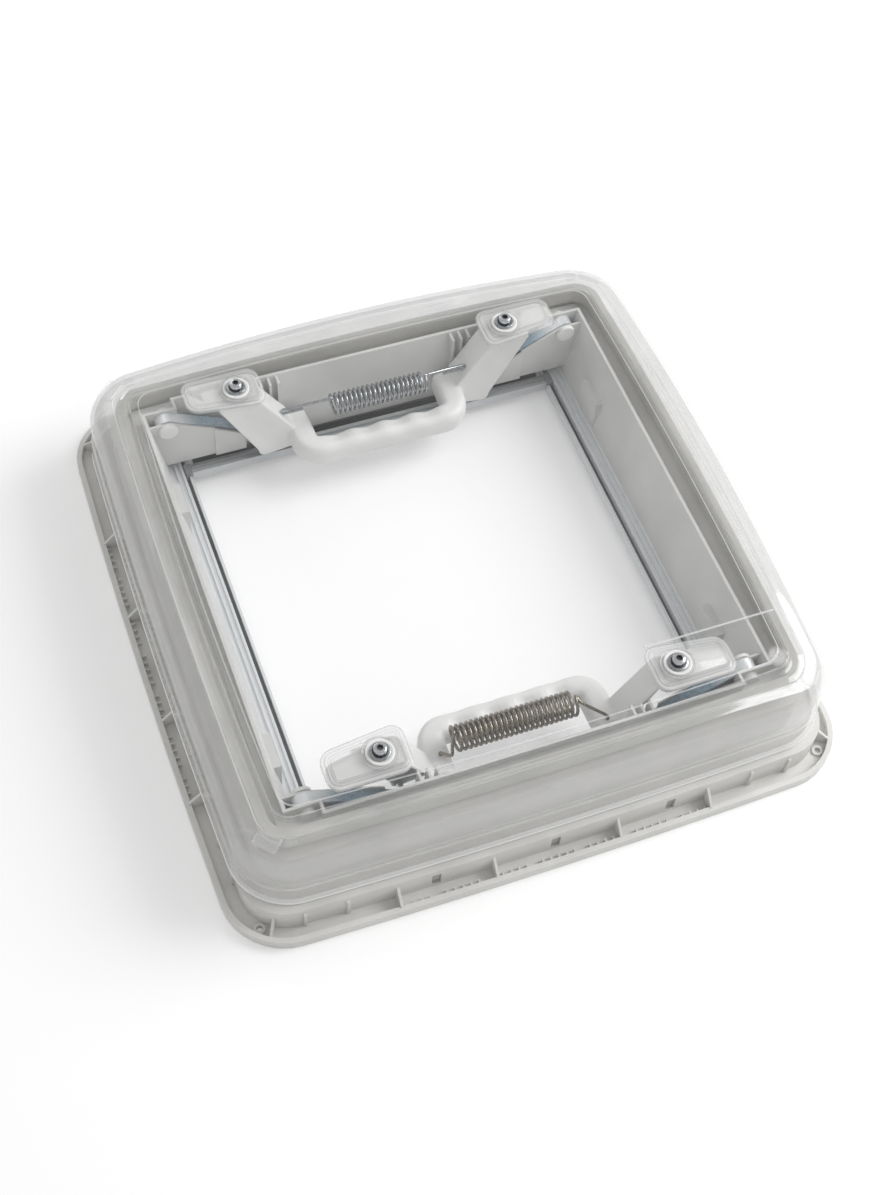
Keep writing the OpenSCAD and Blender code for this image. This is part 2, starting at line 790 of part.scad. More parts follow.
// A steel lever at the rear right, its pivot at the corner: an upright plate with a
// strip along its top edge that rolls round the pivot's end
lever_end_r = 4.5;
strip_end = lever_l * 0.86;
module lever_outline(inset = 0) {
    half = lever_w / 2 - inset;
    end_r = lever_end_r - inset;
    circle(half);
    translate([lever_l, 0])
        circle(end_r);
    polygon([[0, -half], [lever_l * 0.6, -half], [lever_l, -end_r],
        [lever_l, end_r], [lever_l * 0.6, half], [0, half]]);
}
module lever_strip() {
    difference() {
        lever_outline();
        lever_outline(strip_t);
        square([lever_l, lever_w]);
        translate([strip_end, -lever_w])
            square([lever_l, 2 * lever_w]);
    }
}
module lever() {
    color("#8FA3AF")
        translate([pivot_x, lever_y, pivot_z])
            rotate([90, 180 - lever_slope, 0]) {
                difference() {
                    translate([0, 0, -lever_t])
                        linear_extrude(lever_t)
                            lever_outline();
                    translate([0, 0, -lever_t - 1])
                        cylinder(r = pivot_r + pivot_gap, h = lever_t + 2);
                    translate([lever_l, 0, -lever_t - 1])
                        cylinder(r = guide_r, h = lever_t + 2);
                }
                translate([0, 0, -lever_t - strip_reach])
                    linear_extrude(lever_t + 2 * strip_reach)
                        lever_strip();
            }
}
module guide_pin() {
    p = guide_at(0);
    pin_y = web_y + web_t - groove_depth + run_gap;
    color("#B9BDC0")
        translate([p.x, lever_y + lever_t, p.y])
            rotate([90, 0, 0])
                cylinder(r = guide_r, h = lever_y + lever_t - pin_y);
}
module lever_rear_right() { lever(); }
module lever_rear_left() { mirror([1, 0, 0]) lever(); }
module lever_front_left() { rotate(180) lever(); }
module lever_front_right() { mirror([0, 1, 0]) lever(); }
module guide_pin_rear_right() { guide_pin(); }
module guide_pin_rear_left() { mirror([1, 0, 0]) guide_pin(); }
module guide_pin_front_left() { rotate(180) guide_pin(); }
module guide_pin_front_right() { mirror([0, 1, 0]) guide_pin(); }

module at_pivots(y) {
    each_corner()
        translate([pivot_x, y, pivot_z])
            rotate([-90, 0, 0])
                children();
}
module pivot_pins() {
    color("#B9BDC0")
        at_pivots(cap_y - cap_seat)
            cylinder(r = pivot_r, h = cap_seat + block_y - cap_y + pin_seat);
}
// A white cap on each pin: a dished head inside the lever's rolled end, and a neck
module pivot_caps() {
    dish = 1.2;
    color("#EFEFED")
        at_pivots(cap_y - cap_l)
            difference() {
                union() {
                    cylinder(r1 = cap_r - dish, r2 = cap_r, h = dish + eps);
                    translate([0, 0, dish])
                        cylinder(r = cap_r, h = cap_l - strip_reach - dish);
                    cylinder(r = cap_neck_r, h = cap_l);
                }
                translate([0, 0, cap_l - cap_seat])
                    cylinder(r = pivot_r, h = cap_seat + 1);
            }
}

// A wire along a line of points, as a tube of six sides
function transported(t, first) = [
    for (i = 0, n = first; i < len(t);
        i = i + 1, n = i < len(t) ? unit(n - (n * t[i]) * t[i]) : n) n
];
module wire(path, r) {
    last = len(path) - 1;
    t = [for (i = [0:last]) unit(path[min(i + 1, last)] - path[max(i - 1, 0)])];
    start = unit(cross(t[0], [0.3, 0.2, 1]));
    n = transported(t, start);
    skin([for (i = [0:last]) [for (k = [0:5])
        path[i] + r * (cos(60 * k) * n[i] + sin(60 * k) * cross(t[i], n[i]))]]);
}
// A helix about a line along X, and the straight or hooked wire at each end
function coil(x0, l, r, curls) = [
    for (i = [0:curls * 8]) [x0 + l * i / (curls * 8),
        spring_y + r * sin(45 * i), spring_z + r * cos(45 * i)]
];
hook_r = 2.4;
spring_y = web_y + spring_off;
spring_z = plate_z - spring_below;
function side_hook(x, reach, top_z) = concat(
    [for (k = [0:3]) [x + (reach - x) * 0.3 * k, spring_y + 1.6 * k, top_z + (spring_z + hook_r - top_z) * k / 3]],
    [for (a = [60:-30:-90]) [reach - (reach > 0 ? 1 : -1) * hook_r * (1 - cos(a)),
        spring_y + 5, spring_z + hook_r * sin(a)]],
    [[reach - (reach > 0 ? 1 : -1) * (hook_r + 8), spring_y + 5, spring_z - hook_r],
        [reach - (reach > 0 ? 1 : -1) * (hook_r + 16), spring_y + 5, spring_z - hook_r]]
);
function reversed(list) = [for (i = [len(list) - 1:-1:0]) list[i]];
arm_at_spring = arm_in_top - arm_run * (plate_z + 1 - spring_z - hook_r) / (plate_z + 1 - arm_foot_z);
hook_reach = arm_at_spring - wire_d / 2 - spring_peg_gap - 2;
rear_curls = round(2 * arm_at_spring * rear_fill / curl_pitch);
rear_coil_l = rear_curls * curl_pitch;
rear_x0 = -rear_coil_l / 2 + 2;
rear_spring_path = concat(
    reversed(side_hook(rear_x0 - 2, -hook_reach, spring_z + rear_coil_r)),
    coil(rear_x0, rear_coil_l, rear_coil_r, rear_curls),
    side_hook(rear_x0 + rear_coil_l + 2, hook_reach, spring_z + rear_coil_r)
);
front_curls = round(2 * arm_at_spring * front_fill / curl_pitch);
front_coil_l = front_curls * curl_pitch;
front_x0 = -front_coil_l / 2 + 3;
leg_top_z = grip_z + grip_h + run_gap;
front_spring_path = concat(
    [[2 - leg_x, leg_back_y - 3, leg_top_z], [2 - leg_x, leg_back_y - 3, leg_top_z + 2.5],
        [4 - leg_x, leg_back_y - 5, leg_top_z + 5],
        [front_x0 - 5, spring_y + 6, spring_z + front_coil_r - 4]],
    coil(front_x0, front_coil_l, front_coil_r, front_curls),
    [[front_x0 + front_coil_l + 3, spring_y + 1, spring_z + front_coil_r - 3],
        [leg_x - 3, spring_y + 2, spring_z], [leg_x - 3, spring_y + 2, leg_top_z + 3],
        [leg_x - 3, spring_y + 2, leg_top_z]]
);
function least_gap(p, apart) = min([
    for (i = [0:len(p) - 1 - apart], j = [i + apart:len(p) - 1]) norm(p[i] - p[j])
]) - wire_d;
echo(str("least gap of a spring to itself, mm: ",
    min(least_gap(rear_spring_path, 5), least_gap(front_spring_path, 5))));

module spring_rear() {
    color("#9A9DA0")
        wire(rear_spring_path, wire_d / 2);
}
module spring_front() {
    color("#8E867A")
        rotate(180)
            wire(front_spring_path, wire_d / 2);
}

// A side rail: an inner lip, the screen's slot and two shallow grooves
module rail() {
    slot_x = rail_in + lip_t;
    color("#B4B6B8")
        translate([0, rail_half_l, 0])
            rotate([90, 0, 0])
                linear_extrude(2 * rail_half_l)
                    difference() {
                        translate([rail_in, rail_z])
                            square([rail_out - rail_in, rail_t]);
                        translate([slot_x, well_bottom_z - slot_depth])
                            square([slot_w, slot_depth + 1]);
                        translate([rail_in - 1, well_bottom_z - lip_drop])
                            square([lip_t + 2, lip_drop + 1]);
                        for (i = [0:rail_grooves - 1])
                            translate([slot_x + slot_w + 2 + 4.5 * i, well_bottom_z - 1.5])
                                square([2.5, 3]);
                    }
}
module rail_right() { rail(); }
module rail_left() { mirror([1, 0, 0]) rail(); }
module slot_seal() {
    color("#2E2E2E")
        translate([rail_in + lip_t, -rail_half_l, well_bottom_z - slot_depth])
            cube([slot_w, 2 * rail_half_l, 1]);
}
module slot_seal_right() { slot_seal(); }
module slot_seal_left() { mirror([1, 0, 0]) slot_seal(); }

module cross_bar(depth) {
    color("#A9ABAC")
        translate([-rail_in, rail_half_l - depth, rail_z])
            cube([2 * rail_in, depth, rail_t]);
}
rear_bar_d = 5;
front_bar_d = 16;
module rear_cross_bar() { cross_bar(rear_bar_d); }
module front_cross_bar() { mirror([0, 1, 0]) cross_bar(front_bar_d); }

// The bar that draws the screen across, with a finger lip along its front
module pull_bar() {
    color("#A9ABAC")
        rotate([90, 0, 90])
            linear_extrude(2 * bar_half_l, center = true)
                polygon([[bar_y - bar_d / 2, bar_z], [bar_y + bar_d / 2, bar_z],
                    [bar_y + bar_d / 2, bar_z + bar_h], [bar_y + bar_d / 2 - 3, bar_z + bar_h],
                    [bar_y + bar_d / 2 - 4, bar_z + bar_h - 2], [bar_y - bar_d / 2 + 4, bar_z + bar_h - 2],
                    [bar_y - bar_d / 2 + 3, bar_z + bar_h], [bar_y - bar_d / 2, bar_z + bar_h]]);
}
// Tongues at the bar's ends that reach over the rail's lip into the slot
module bar_sliders() {
    over_z = well_bottom_z - lip_drop + run_gap;
    tongue_x = rail_in + lip_t + (slot_w - tongue_t) / 2;
    color("#8D9093")
        for (m = [0, 1])
            mirror([m, 0, 0])
                translate([0, bar_y - slider_l / 2, 0]) {
                    translate([bar_half_l, 0, over_z])
                        cube([tongue_x + tongue_t - bar_half_l, slider_l, well_bottom_z - over_z + 1]);
                    translate([tongue_x, 0, well_bottom_z - slot_depth + 1 + run_gap])
                        cube([tongue_t, slider_l, slot_depth - 1 - run_gap]);
                }
}
// The parked screen, folded between the pull bar and the rear cross bar
module pleated_screen() {
    y0 = bar_y + bar_d / 2 + run_gap;
    y1 = rail_half_l - rear_bar_d - run_gap;
    pitch = (y1 - y0) / folds;
    color("#1F1F20")
        rotate([90, 0, 90])
            linear_extrude(2 * bar_half_l - 4, center = true)
                polygon(concat(
                    [for (i = [0:2 * folds]) [y0 + pitch * i / 2, bar_z + bar_h - 2 - (i % 2 == 0 ? 1 : 0)]],
                    [for (i = [2 * folds:-1:0]) [y0 + pitch * i / 2, bar_z + 0.5 + (i % 2 == 0 ? 1 : 0)]]
                ));
}

outer_frame();
inner_frame();
dome_seal();
dome_shell();
handle_rear();
handle_front();
dome_screws();
screw_washers();
sealing_washers();
spring_rear();
spring_front();
lever_rear_left();
lever_rear_right();
lever_front_left();
lever_front_right();
guide_pin_rear_left();
guide_pin_rear_right();
guide_pin_front_left();
guide_pin_front_right();
pivot_pins();
pivot_caps();
rail_left();
rail_right();
slot_seal_left();
slot_seal_right();
rear_cross_bar();
front_cross_bar();
pull_bar();
bar_sliders();
pleated_screen();
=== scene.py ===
# Caravan roof vent: a milky dome with a clear pane over a white well, on a ribbed flange
import math

import bmesh
import bpy
from mathutils import Matrix, Vector


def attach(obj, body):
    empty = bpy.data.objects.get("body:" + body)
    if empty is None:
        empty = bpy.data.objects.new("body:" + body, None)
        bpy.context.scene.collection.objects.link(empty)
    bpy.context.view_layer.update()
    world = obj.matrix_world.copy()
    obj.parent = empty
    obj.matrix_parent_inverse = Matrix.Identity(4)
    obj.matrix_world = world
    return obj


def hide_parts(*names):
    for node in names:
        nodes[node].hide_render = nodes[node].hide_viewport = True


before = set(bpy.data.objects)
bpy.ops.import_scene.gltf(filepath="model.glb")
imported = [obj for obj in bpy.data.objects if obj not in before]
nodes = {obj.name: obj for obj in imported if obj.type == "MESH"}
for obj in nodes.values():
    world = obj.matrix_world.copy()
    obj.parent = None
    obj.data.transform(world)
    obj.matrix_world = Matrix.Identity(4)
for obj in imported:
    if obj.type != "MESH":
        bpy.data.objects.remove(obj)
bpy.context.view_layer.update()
mm = 0.001


# Small helpers

def linearColour(hexValue):
    channels = [int(hexValue[i:i + 2], 16) / 255 for i in (1, 3, 5)]
    return tuple(c / 12.92 if c <= 0.04045 else ((c + 0.055) / 1.055) ** 2.4 for c in channels) + (1.0,)


def addNode(tree, kind, inputs=None, **settings):
    node = tree.nodes.new(kind)
    for name, value in settings.items():
        setattr(node, name, value)
    for name, value in (inputs or {}).items():
        if isinstance(value, bpy.types.NodeSocket):
            tree.links.new(value, node.inputs[name])
        else:
            node.inputs[name].default_value = value
    return node


def calc(tree, operation, *values, **settings):
    node = addNode(tree, "ShaderNodeMath", dict(enumerate(values)), operation=operation, **settings)
    return node.outputs[0]


def mapRange(tree, value, limits, **settings):
    # limits holds any of the node's From Min, From Max, To Min and To Max
    return addNode(tree, "ShaderNodeMapRange", {"Value": value, **limits}, **settings).outputs["Result"]


def mixColours(tree, share, first, second):
    node = addNode(tree, "ShaderNodeMix", {"Factor": share, "A": first, "B": second}, data_type="RGBA")
    return node.outputs["Result"]


def mixShaders(tree, share, first, second):
    return addNode(tree, "ShaderNodeMixShader", {
        "Fac": share, 1: first.outputs[0], 2: second.outputs[0]})


def newMaterial(name):
    material = bpy.data.materials.new(name)
    material.use_nodes = True
    tree = material.node_tree
    tree.nodes.clear()
    output = addNode(tree, "ShaderNodeOutputMaterial")
    coords = addNode(tree, "ShaderNodeTexCoord").outputs["Object"]
    return material, tree, output, coords


def paint(piece, material):
    piece.data.materials.clear()
    piece.data.materials.append(material)


def deselectAll():
    if bpy.context.mode != "OBJECT":
        bpy.ops.object.mode_set(mode="OBJECT")
    bpy.ops.object.select_all(action="DESELECT")


def pick(piece):
    deselectAll()
    piece.select_set(True)
    bpy.context.view_layer.objects.active = piece


def editMesh(piece, mode="FACE"):
    pick(piece)
    bpy.ops.object.mode_set(mode="EDIT")
    bpy.ops.mesh.select_mode(type=mode)
    bpy.ops.mesh.select_all(action="DESELECT")
    return bmesh.from_edit_mesh(piece.data)


def selectWhere(piece, kind, test):
    shape = bmesh.from_edit_mesh(piece.data)
    for part in getattr(shape, kind):
        part.select_set(bool(test(part)))
    shape.select_flush_mode()
    bmesh.update_edit_mesh(piece.data)


def selectTop(piece):
    bpy.ops.mesh.select_mode(type="FACE")
    shape = bmesh.from_edit_mesh(piece.data)
    top = max(shape.faces, key=lambda f: (round(f.calc_center_median().z, 6), f.calc_area())).index
    selectWhere(piece, "faces", lambda f: f.index == top)


def insetSteps(steps):
    # Each step narrows the chosen face by a width and raises it by a rise, in mm
    for width, rise in steps:
        bpy.ops.mesh.inset(thickness=width * mm, depth=rise * mm)


def stepTop(piece, steps):
    selectTop(piece)
    insetSteps(steps)
    bpy.ops.object.mode_set(mode="OBJECT")
    return piece


def faceOutwards():
    bpy.ops.mesh.select_all(action="SELECT")
    bpy.ops.mesh.normals_make_consistent(inside=False)


def linkedCopy(model):
    piece = model.copy()
    piece.data = model.data.copy()
    bpy.context.scene.collection.objects.link(piece)
    return piece


def applyModifier(piece, kind, **settings):
    pick(piece)
    modifier = piece.modifiers.new(kind.title(), kind)
    for name, value in settings.items():
        setattr(modifier, name, value)
    bpy.ops.object.modifier_apply(modifier=modifier.name)


def finishPiece(piece, name, body, material, replaces=(), smoothAngle=35):
    pick(piece)
    bpy.ops.object.transform_apply(location=True, rotation=True, scale=True)
    bpy.ops.object.shade_smooth_by_angle(angle=math.radians(smoothAngle))
    piece.name = name
    piece.data.name = name
    if material:
        paint(piece, material)
    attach(piece, body)
    if replaces:
        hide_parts(*replaces)


# Camera: the photograph was taken from the front left, well above the vent

view = {
    "azimuth": -0.441964, "elevation": 0.984164, "roll": 0.100935,
    "distance": 1.429397, "target": (0.0038006, -0.0071615, 0.0),
    "focalPixels": 1795.893, "imageHeight": 1195, "sensor": 36,
}


def makeCamera():
    az, el, roll = view["azimuth"], view["elevation"], view["roll"]
    back = Vector((math.sin(az) * math.cos(el), -math.cos(az) * math.cos(el), math.sin(el)))
    right = Vector((math.cos(az), math.sin(az), 0))
    up = back.cross(right)
    across = math.cos(roll) * right + math.sin(roll) * up
    above = -math.sin(roll) * right + math.cos(roll) * up
    place = Vector(view["target"]) + back * view["distance"]
    camera = bpy.data.objects.new("camera", bpy.data.cameras.new("camera"))
    bpy.context.scene.collection.objects.link(camera)
    camera.data.sensor_width = view["sensor"]
    camera.data.lens = view["focalPixels"] * view["sensor"] / view["imageHeight"]
    camera.matrix_world = Matrix((
        (across.x, above.x, back.x, place.x), (across.y, above.y, back.y, place.y),
        (across.z, above.z, back.z, place.z), (0, 0, 0, 1)))
    bpy.context.scene.camera = camera


makeCamera()
print("camera set")


# Materials. Patterns are sized in mm, and a texture's scale is the number of them in a metre.

perMetre = 1000
plastic = {
    "mottle": 45, "cloudLow": 0.38, "cloudHigh": 0.62, "grainDepth": 0.4,
    "glossier": 0.05, "duller": 0.07, "ior": 1.5,
}
metal = {"shadeLow": 0.35, "shadeHigh": 0.65, "glossSpread": 0.08, "lineDepth": 0.2}
acrylicIor = 1.49
# Shares of milk in the rim, and the heights in mm between which they change
rim = {
    "coverLip": 0.12, "coverCrown": 0.17, "coverFrom": 30, "coverTo": 90, "flow": 38, "uneven": 0.14,
    "edge": 0.2, "edgeBlend": 0.35, "lip": 0.4, "lipFrom": 29.4, "lipTo": 28.6, "through": 0.5,
    "colour": "#E2E2E2", "roughness": 0.3, "gloss": 0.07, "sheen": 0.05, "graze": 0.6,
}
pane = {"haze": 120, "roughness": 0.3, "sheen": 0.03, "graze": 0.6, "gloss": 0.08}


def mouldedPlastic(name, hexValue, shadeHex, roughness, grain=1.6, bump=0.06):
    # Injection moulded plastic or rubber: even, slightly waxy, with a faint spark-eroded grain and
    # soft flow clouds. The real grain is about 0.3 mm; it is drawn coarser so that it shows.
    material, tree, output, coords = newMaterial(name)
    clouds = addNode(tree, "ShaderNodeTexNoise", {
        "Vector": coords, "Scale": perMetre / plastic["mottle"], "Detail": 3}).outputs["Fac"]
    share = mapRange(tree, clouds, {"From Min": plastic["cloudLow"], "From Max": plastic["cloudHigh"]})
    colour = mixColours(tree, share, linearColour(shadeHex), linearColour(hexValue))
    grainNoise = addNode(tree, "ShaderNodeTexNoise", {
        "Vector": coords, "Scale": perMetre / grain, "Detail": 2})
    relief = addNode(tree, "ShaderNodeBump", {
        "Height": grainNoise.outputs["Fac"], "Strength": bump, "Distance": plastic["grainDepth"] * mm})
    gloss = mapRange(tree, clouds, {
        "To Min": roughness - plastic["glossier"], "To Max": roughness + plastic["duller"]})
    shader = addNode(tree, "ShaderNodeBsdfPrincipled", {
        "Base Color": colour, "Roughness": gloss, "Normal": relief.outputs["Normal"],
        "IOR": plastic["ior"]})
    tree.links.new(shader.outputs["BSDF"], output.inputs["Surface"])
    return material


def drawnMetal(name, hexValue, shadeHex, roughness, streak=(0.4, 60, 0.4), metallic=1.0, bump=0.12,
               paintedHighlight=None):
    # Extruded, drawn or rolled metal: fine lines along the way it ran through the die.
    # streak is the size of a line along X, Y and Z, in mm; real lines of 0.05 mm are drawn wider.
    # paintedHighlight is a painted highlight: a lighter colour that takes over between two distances from the
    # vent's middle, in mm.
    material, tree, output, coords = newMaterial(name)
    stretch = addNode(tree, "ShaderNodeMapping", {
        "Vector": coords, "Scale": tuple(perMetre / s for s in streak)})
    lines = addNode(tree, "ShaderNodeTexNoise", {
        "Vector": stretch.outputs["Vector"], "Scale": 1, "Detail": 4}).outputs["Fac"]
    share = mapRange(tree, lines, {"From Min": metal["shadeLow"], "From Max": metal["shadeHigh"]})
    colour = mixColours(tree, share, linearColour(shadeHex), linearColour(hexValue))
    # Painted highlight: the colour turns lighter between two distances from the middle
    if paintedHighlight:
        start, end, highlightHex = paintedHighlight
        across = addNode(tree, "ShaderNodeSeparateXYZ", {"Vector": coords}).outputs["X"]
        highlightShare = mapRange(tree, calc(tree, "ABSOLUTE", across), {"From Min": start * mm, "From Max": end * mm})
        colour = mixColours(tree, highlightShare, colour, linearColour(highlightHex))
    gloss = mapRange(tree, lines, {
        "To Min": roughness - metal["glossSpread"], "To Max": roughness + metal["glossSpread"]})
    relief = addNode(tree, "ShaderNodeBump", {
        "Height": lines, "Strength": bump, "Distance": metal["lineDepth"] * mm})
    shader = addNode(tree, "ShaderNodeBsdfPrincipled", {
        "Base Color": colour, "Roughness": gloss, "Normal": relief.outputs["Normal"],
        "Metallic": metallic})
    tree.links.new(shader.outputs["BSDF"], output.inputs["Surface"])
    return material


def sheenOf(tree, floor, rise):
    # The share of light that a polished face throws back: little head on, much at a grazing angle
    facing = addNode(tree, "ShaderNodeLayerWeight", {"Blend": 0.5}).outputs["Facing"]
    return calc(tree, "MULTIPLY_ADD", calc(tree, "POWER", facing, 5.0), rise, floor)


def whiteShader(tree, kind, **inputs):
    return addNode(tree, kind, {"Color": linearColour("#FFFFFF"), **inputs})


def acrylicRim():
    # Vacuum-formed frosted acrylic: a milky body that light passes, under a smooth glossy skin.
    # It is denser on the crown, where the sheet was drawn least, and thins down the skirt; its
    # cut lip is painted with a denser, whiter milk: a painted highlight where the lip gathers light.
    material, tree, output, coords = newMaterial("frostedAcrylicRim")
    height = addNode(tree, "ShaderNodeSeparateXYZ", {"Vector": coords}).outputs["Z"]
    flow = addNode(tree, "ShaderNodeTexNoise", {
        "Vector": coords, "Scale": perMetre / rim["flow"], "Detail": 4}).outputs["Fac"]
    cover = mapRange(tree, height, {
        "From Min": rim["coverFrom"] * mm, "From Max": rim["coverTo"] * mm, "To Min": rim["coverLip"],
        "To Max": rim["coverCrown"]}, interpolation_type="SMOOTHSTEP")
    uneven = calc(tree, "MULTIPLY_ADD", flow, rim["uneven"], -rim["uneven"] / 2)
    facing = addNode(tree, "ShaderNodeLayerWeight", {"Blend": rim["edgeBlend"]}).outputs["Facing"]
    edge = calc(tree, "MULTIPLY", facing, rim["edge"])
    # Painted highlight: more milk on the last mm over the lip
    lip = mapRange(tree, height, {
        "From Min": rim["lipFrom"] * mm, "From Max": rim["lipTo"] * mm, "To Min": 0, "To Max": rim["lip"]})
    total = calc(tree, "ADD", calc(tree, "ADD", cover, uneven), lip)
    total = calc(tree, "ADD", total, edge, use_clamp=True)
    front = addNode(tree, "ShaderNodeBsdfPrincipled", {
        "Base Color": linearColour(rim["colour"]), "Roughness": rim["roughness"], "IOR": acrylicIor})
    milk = addNode(tree, "ShaderNodeBsdfTranslucent", {"Color": linearColour(rim["colour"])})
    body = mixShaders(tree, rim["through"], front, milk)
    mixed = mixShaders(tree, total, whiteShader(tree, "ShaderNodeBsdfTransparent"), body)
    gloss = whiteShader(tree, "ShaderNodeBsdfGlossy", Roughness=rim["gloss"])
    polished = mixShaders(tree, sheenOf(tree, rim["sheen"], rim["graze"]), mixed, gloss)
    tree.links.new(polished.outputs[0], output.inputs["Surface"])
    return material


def clearAcrylic(name, milkLow, milkHigh, colour):
    # Polished acrylic: its sheen, over a haze between two shares of milk
    material, tree, output, coords = newMaterial(name)
    haze = addNode(tree, "ShaderNodeTexNoise", {
        "Vector": coords, "Scale": perMetre / pane["haze"], "Detail": 1}).outputs["Fac"]
    milk = mapRange(tree, haze, {"To Min": milkLow, "To Max": milkHigh})
    gloss = whiteShader(tree, "ShaderNodeBsdfGlossy", Roughness=pane["gloss"])
    clear = whiteShader(tree, "ShaderNodeBsdfTransparent")
    skin = mixShaders(tree, sheenOf(tree, pane["sheen"], pane["graze"]), clear, gloss)
    body = addNode(tree, "ShaderNodeBsdfPrincipled", {
        "Base Color": linearColour(colour), "Roughness": pane["roughness"], "IOR": acrylicIor})
    tree.links.new(mixShaders(tree, milk, skin, body).outputs[0], output.inputs["Surface"])
    return material


rimAcrylic = acrylicRim()
paneAcrylic = clearAcrylic("clearAcrylicPane", 0.0, 0.03, "#F2F3F2")
# A denser, whiter milk on the crest's edges, the step's rims and the pane's ridge: painted highlight lines
edgeHighlightAcrylic = clearAcrylic("clearAcrylicEdgeHighlight", 0.3, 0.4, "#F7F7F7")
# A near-opaque white for the cut lip: a painted highlight where the edge gathers light
lipHighlightAcrylic = clearAcrylic("cutAcrylicLipHighlight", 0.75, 0.85, "#FFFFFF")
tabAcrylic = clearAcrylic("frostedAcrylicTab", 0.08, 0.14, "#E6E6E6")
padClear = clearAcrylic("clearAcrylicPad", 0.2, 0.3, "#F8F8F7")
# Grey milk for the pads' sloping bands: painted shade lines
padEdgeShade = clearAcrylic("clearAcrylicPadEdgeShade", 0.25, 0.4, "#B4B6B6")
frameAbs = mouldedPlastic("mouldedAbsFrame", "#E0DFDC", "#D8D7D4", roughness=0.45)
wellAbs = mouldedPlastic("mouldedAbsWell", "#DADAD8", "#D2D2D0", roughness=0.38)
gripNylon = mouldedPlastic("mouldedNylonGrip", "#EFEFEE", "#E9E9E8", roughness=0.36, grain=2.2, bump=0.04)
washerNylon = mouldedPlastic("turnedNylonWasher", "#F1F1EF", "#E6E6E4", roughness=0.4, grain=1.2)
sealRubber = mouldedPlastic("foamRubberSeal", "#D2D1CC", "#C6C5C0", roughness=0.75, grain=1.4, bump=0.3)
blackRubber = mouldedPlastic("extrudedBlackRubber", "#55575A", "#494B4D", roughness=0.6, bump=0.2)
sliderNylon = mouldedPlastic("mouldedGreySlider", "#8D9093", "#85888B", roughness=0.5)
railAlloy = drawnMetal("anodisedAluminiumRail", "#F0F1F3", "#D9DCDF", 0.34, metallic=0.15)
barAlloy = drawnMetal("anodisedAluminiumBar", "#D2D4D6", "#B8BBBE", 0.34, streak=(60, 0.5, 0.5), metallic=0.7)
# The levers' ends by the pivots are painted lighter: a painted highlight where their top strips catch the
# light
leverZinc = drawnMetal("blueZincPlatedSteel", "#B9CFDD", "#8FAABC", 0.3, streak=(30, 0.6, 1.2), metallic=0.6,
                       paintedHighlight=(143, 160, "#F1F4F6"))
springSteel = drawnMetal("drawnSpringSteel", "#B9BCBF", "#8E9194", 0.24, streak=(1, 1, 1), bump=0.05)
springWorn = drawnMetal("oiledSpringSteel", "#A39C90", "#7C756A", 0.27, streak=(1, 1, 1), bump=0.05)
screwSteel = drawnMetal("polishedStainlessSteel", "#D6D8DA", "#C3C6C9", 0.16, streak=(2, 2, 2), bump=0.03)
washerSteel = drawnMetal("rolledSteelWasher", "#B2B5B8", "#979A9D", 0.26, streak=(1.5, 1.5, 1.5))
# A darker steel inside the screws' hex sockets: painted shade in the recess
socketShadeSteel = drawnMetal("steelSocketShade", "#85888B", "#6A6D70", 0.4, streak=(1.5, 1.5, 1.5), metallic=0.7)
# A near-black steel for the lock under each screw head: painted shade under the head
neckShadeSteel = drawnMetal("steelLockShade", "#4A4C4F", "#303234", 0.35, streak=(1.5, 1.5, 1.5), metallic=0.7)
print("materials made")

corners = {"RearRight": (1, 1), "RearLeft": (-1, 1), "FrontLeft": (-1, -1), "FrontRight": (1, -1)}

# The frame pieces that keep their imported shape

kept = {
    "outer_frame": frameAbs, "inner_frame": wellAbs, "dome_seal": sealRubber,
    "lever_rear_left": leverZinc, "lever_rear_right": leverZinc,
    "lever_front_left": leverZinc, "lever_front_right": leverZinc,
    "guide_pin_rear_left": screwSteel, "guide_pin_rear_right": screwSteel,
    "guide_pin_front_left": screwSteel, "guide_pin_front_right": screwSteel,
    "pivot_pins": screwSteel, "rail_left": railAlloy, "rail_right": railAlloy,
    "slot_seal_left": blackRubber, "slot_seal_right": blackRubber,
    "rear_cross_bar": barAlloy, "front_cross_bar": barAlloy, "pull_bar": barAlloy,
    "bar_sliders": sliderNylon,
}
for nodeName, material in kept.items():
    paint(nodes[nodeName], material)
print("frame painted")

# The dome

dome = {
    "halfSize": 234, "lipHeight": 28, "corner": 42, "leastCorner": 12, "bow": 5, "bowFrom": 150,
    "wall": 3, "crestFall": 9, "crestRound": 0.25, "crownIn": 3, "crownRadius": 18, "crownSteps": 10,
    "shoulder": 79.5, "crest": 97.5, "groove": 87, "step": 204, "paneHeight": 96, "paneFlat": 148,
    "paneRise": 5, "paneCurve": 1.25, "cornerSegments": 14, "sideCuts": 19,
}
# The bands in the edge slot carry painted highlight lines along the crest's edge, the skirt and the step's
# rims
rimSlot, paneSlot, edgeHighlightSlot, lipHighlightSlot = 0, 1, 2, 3
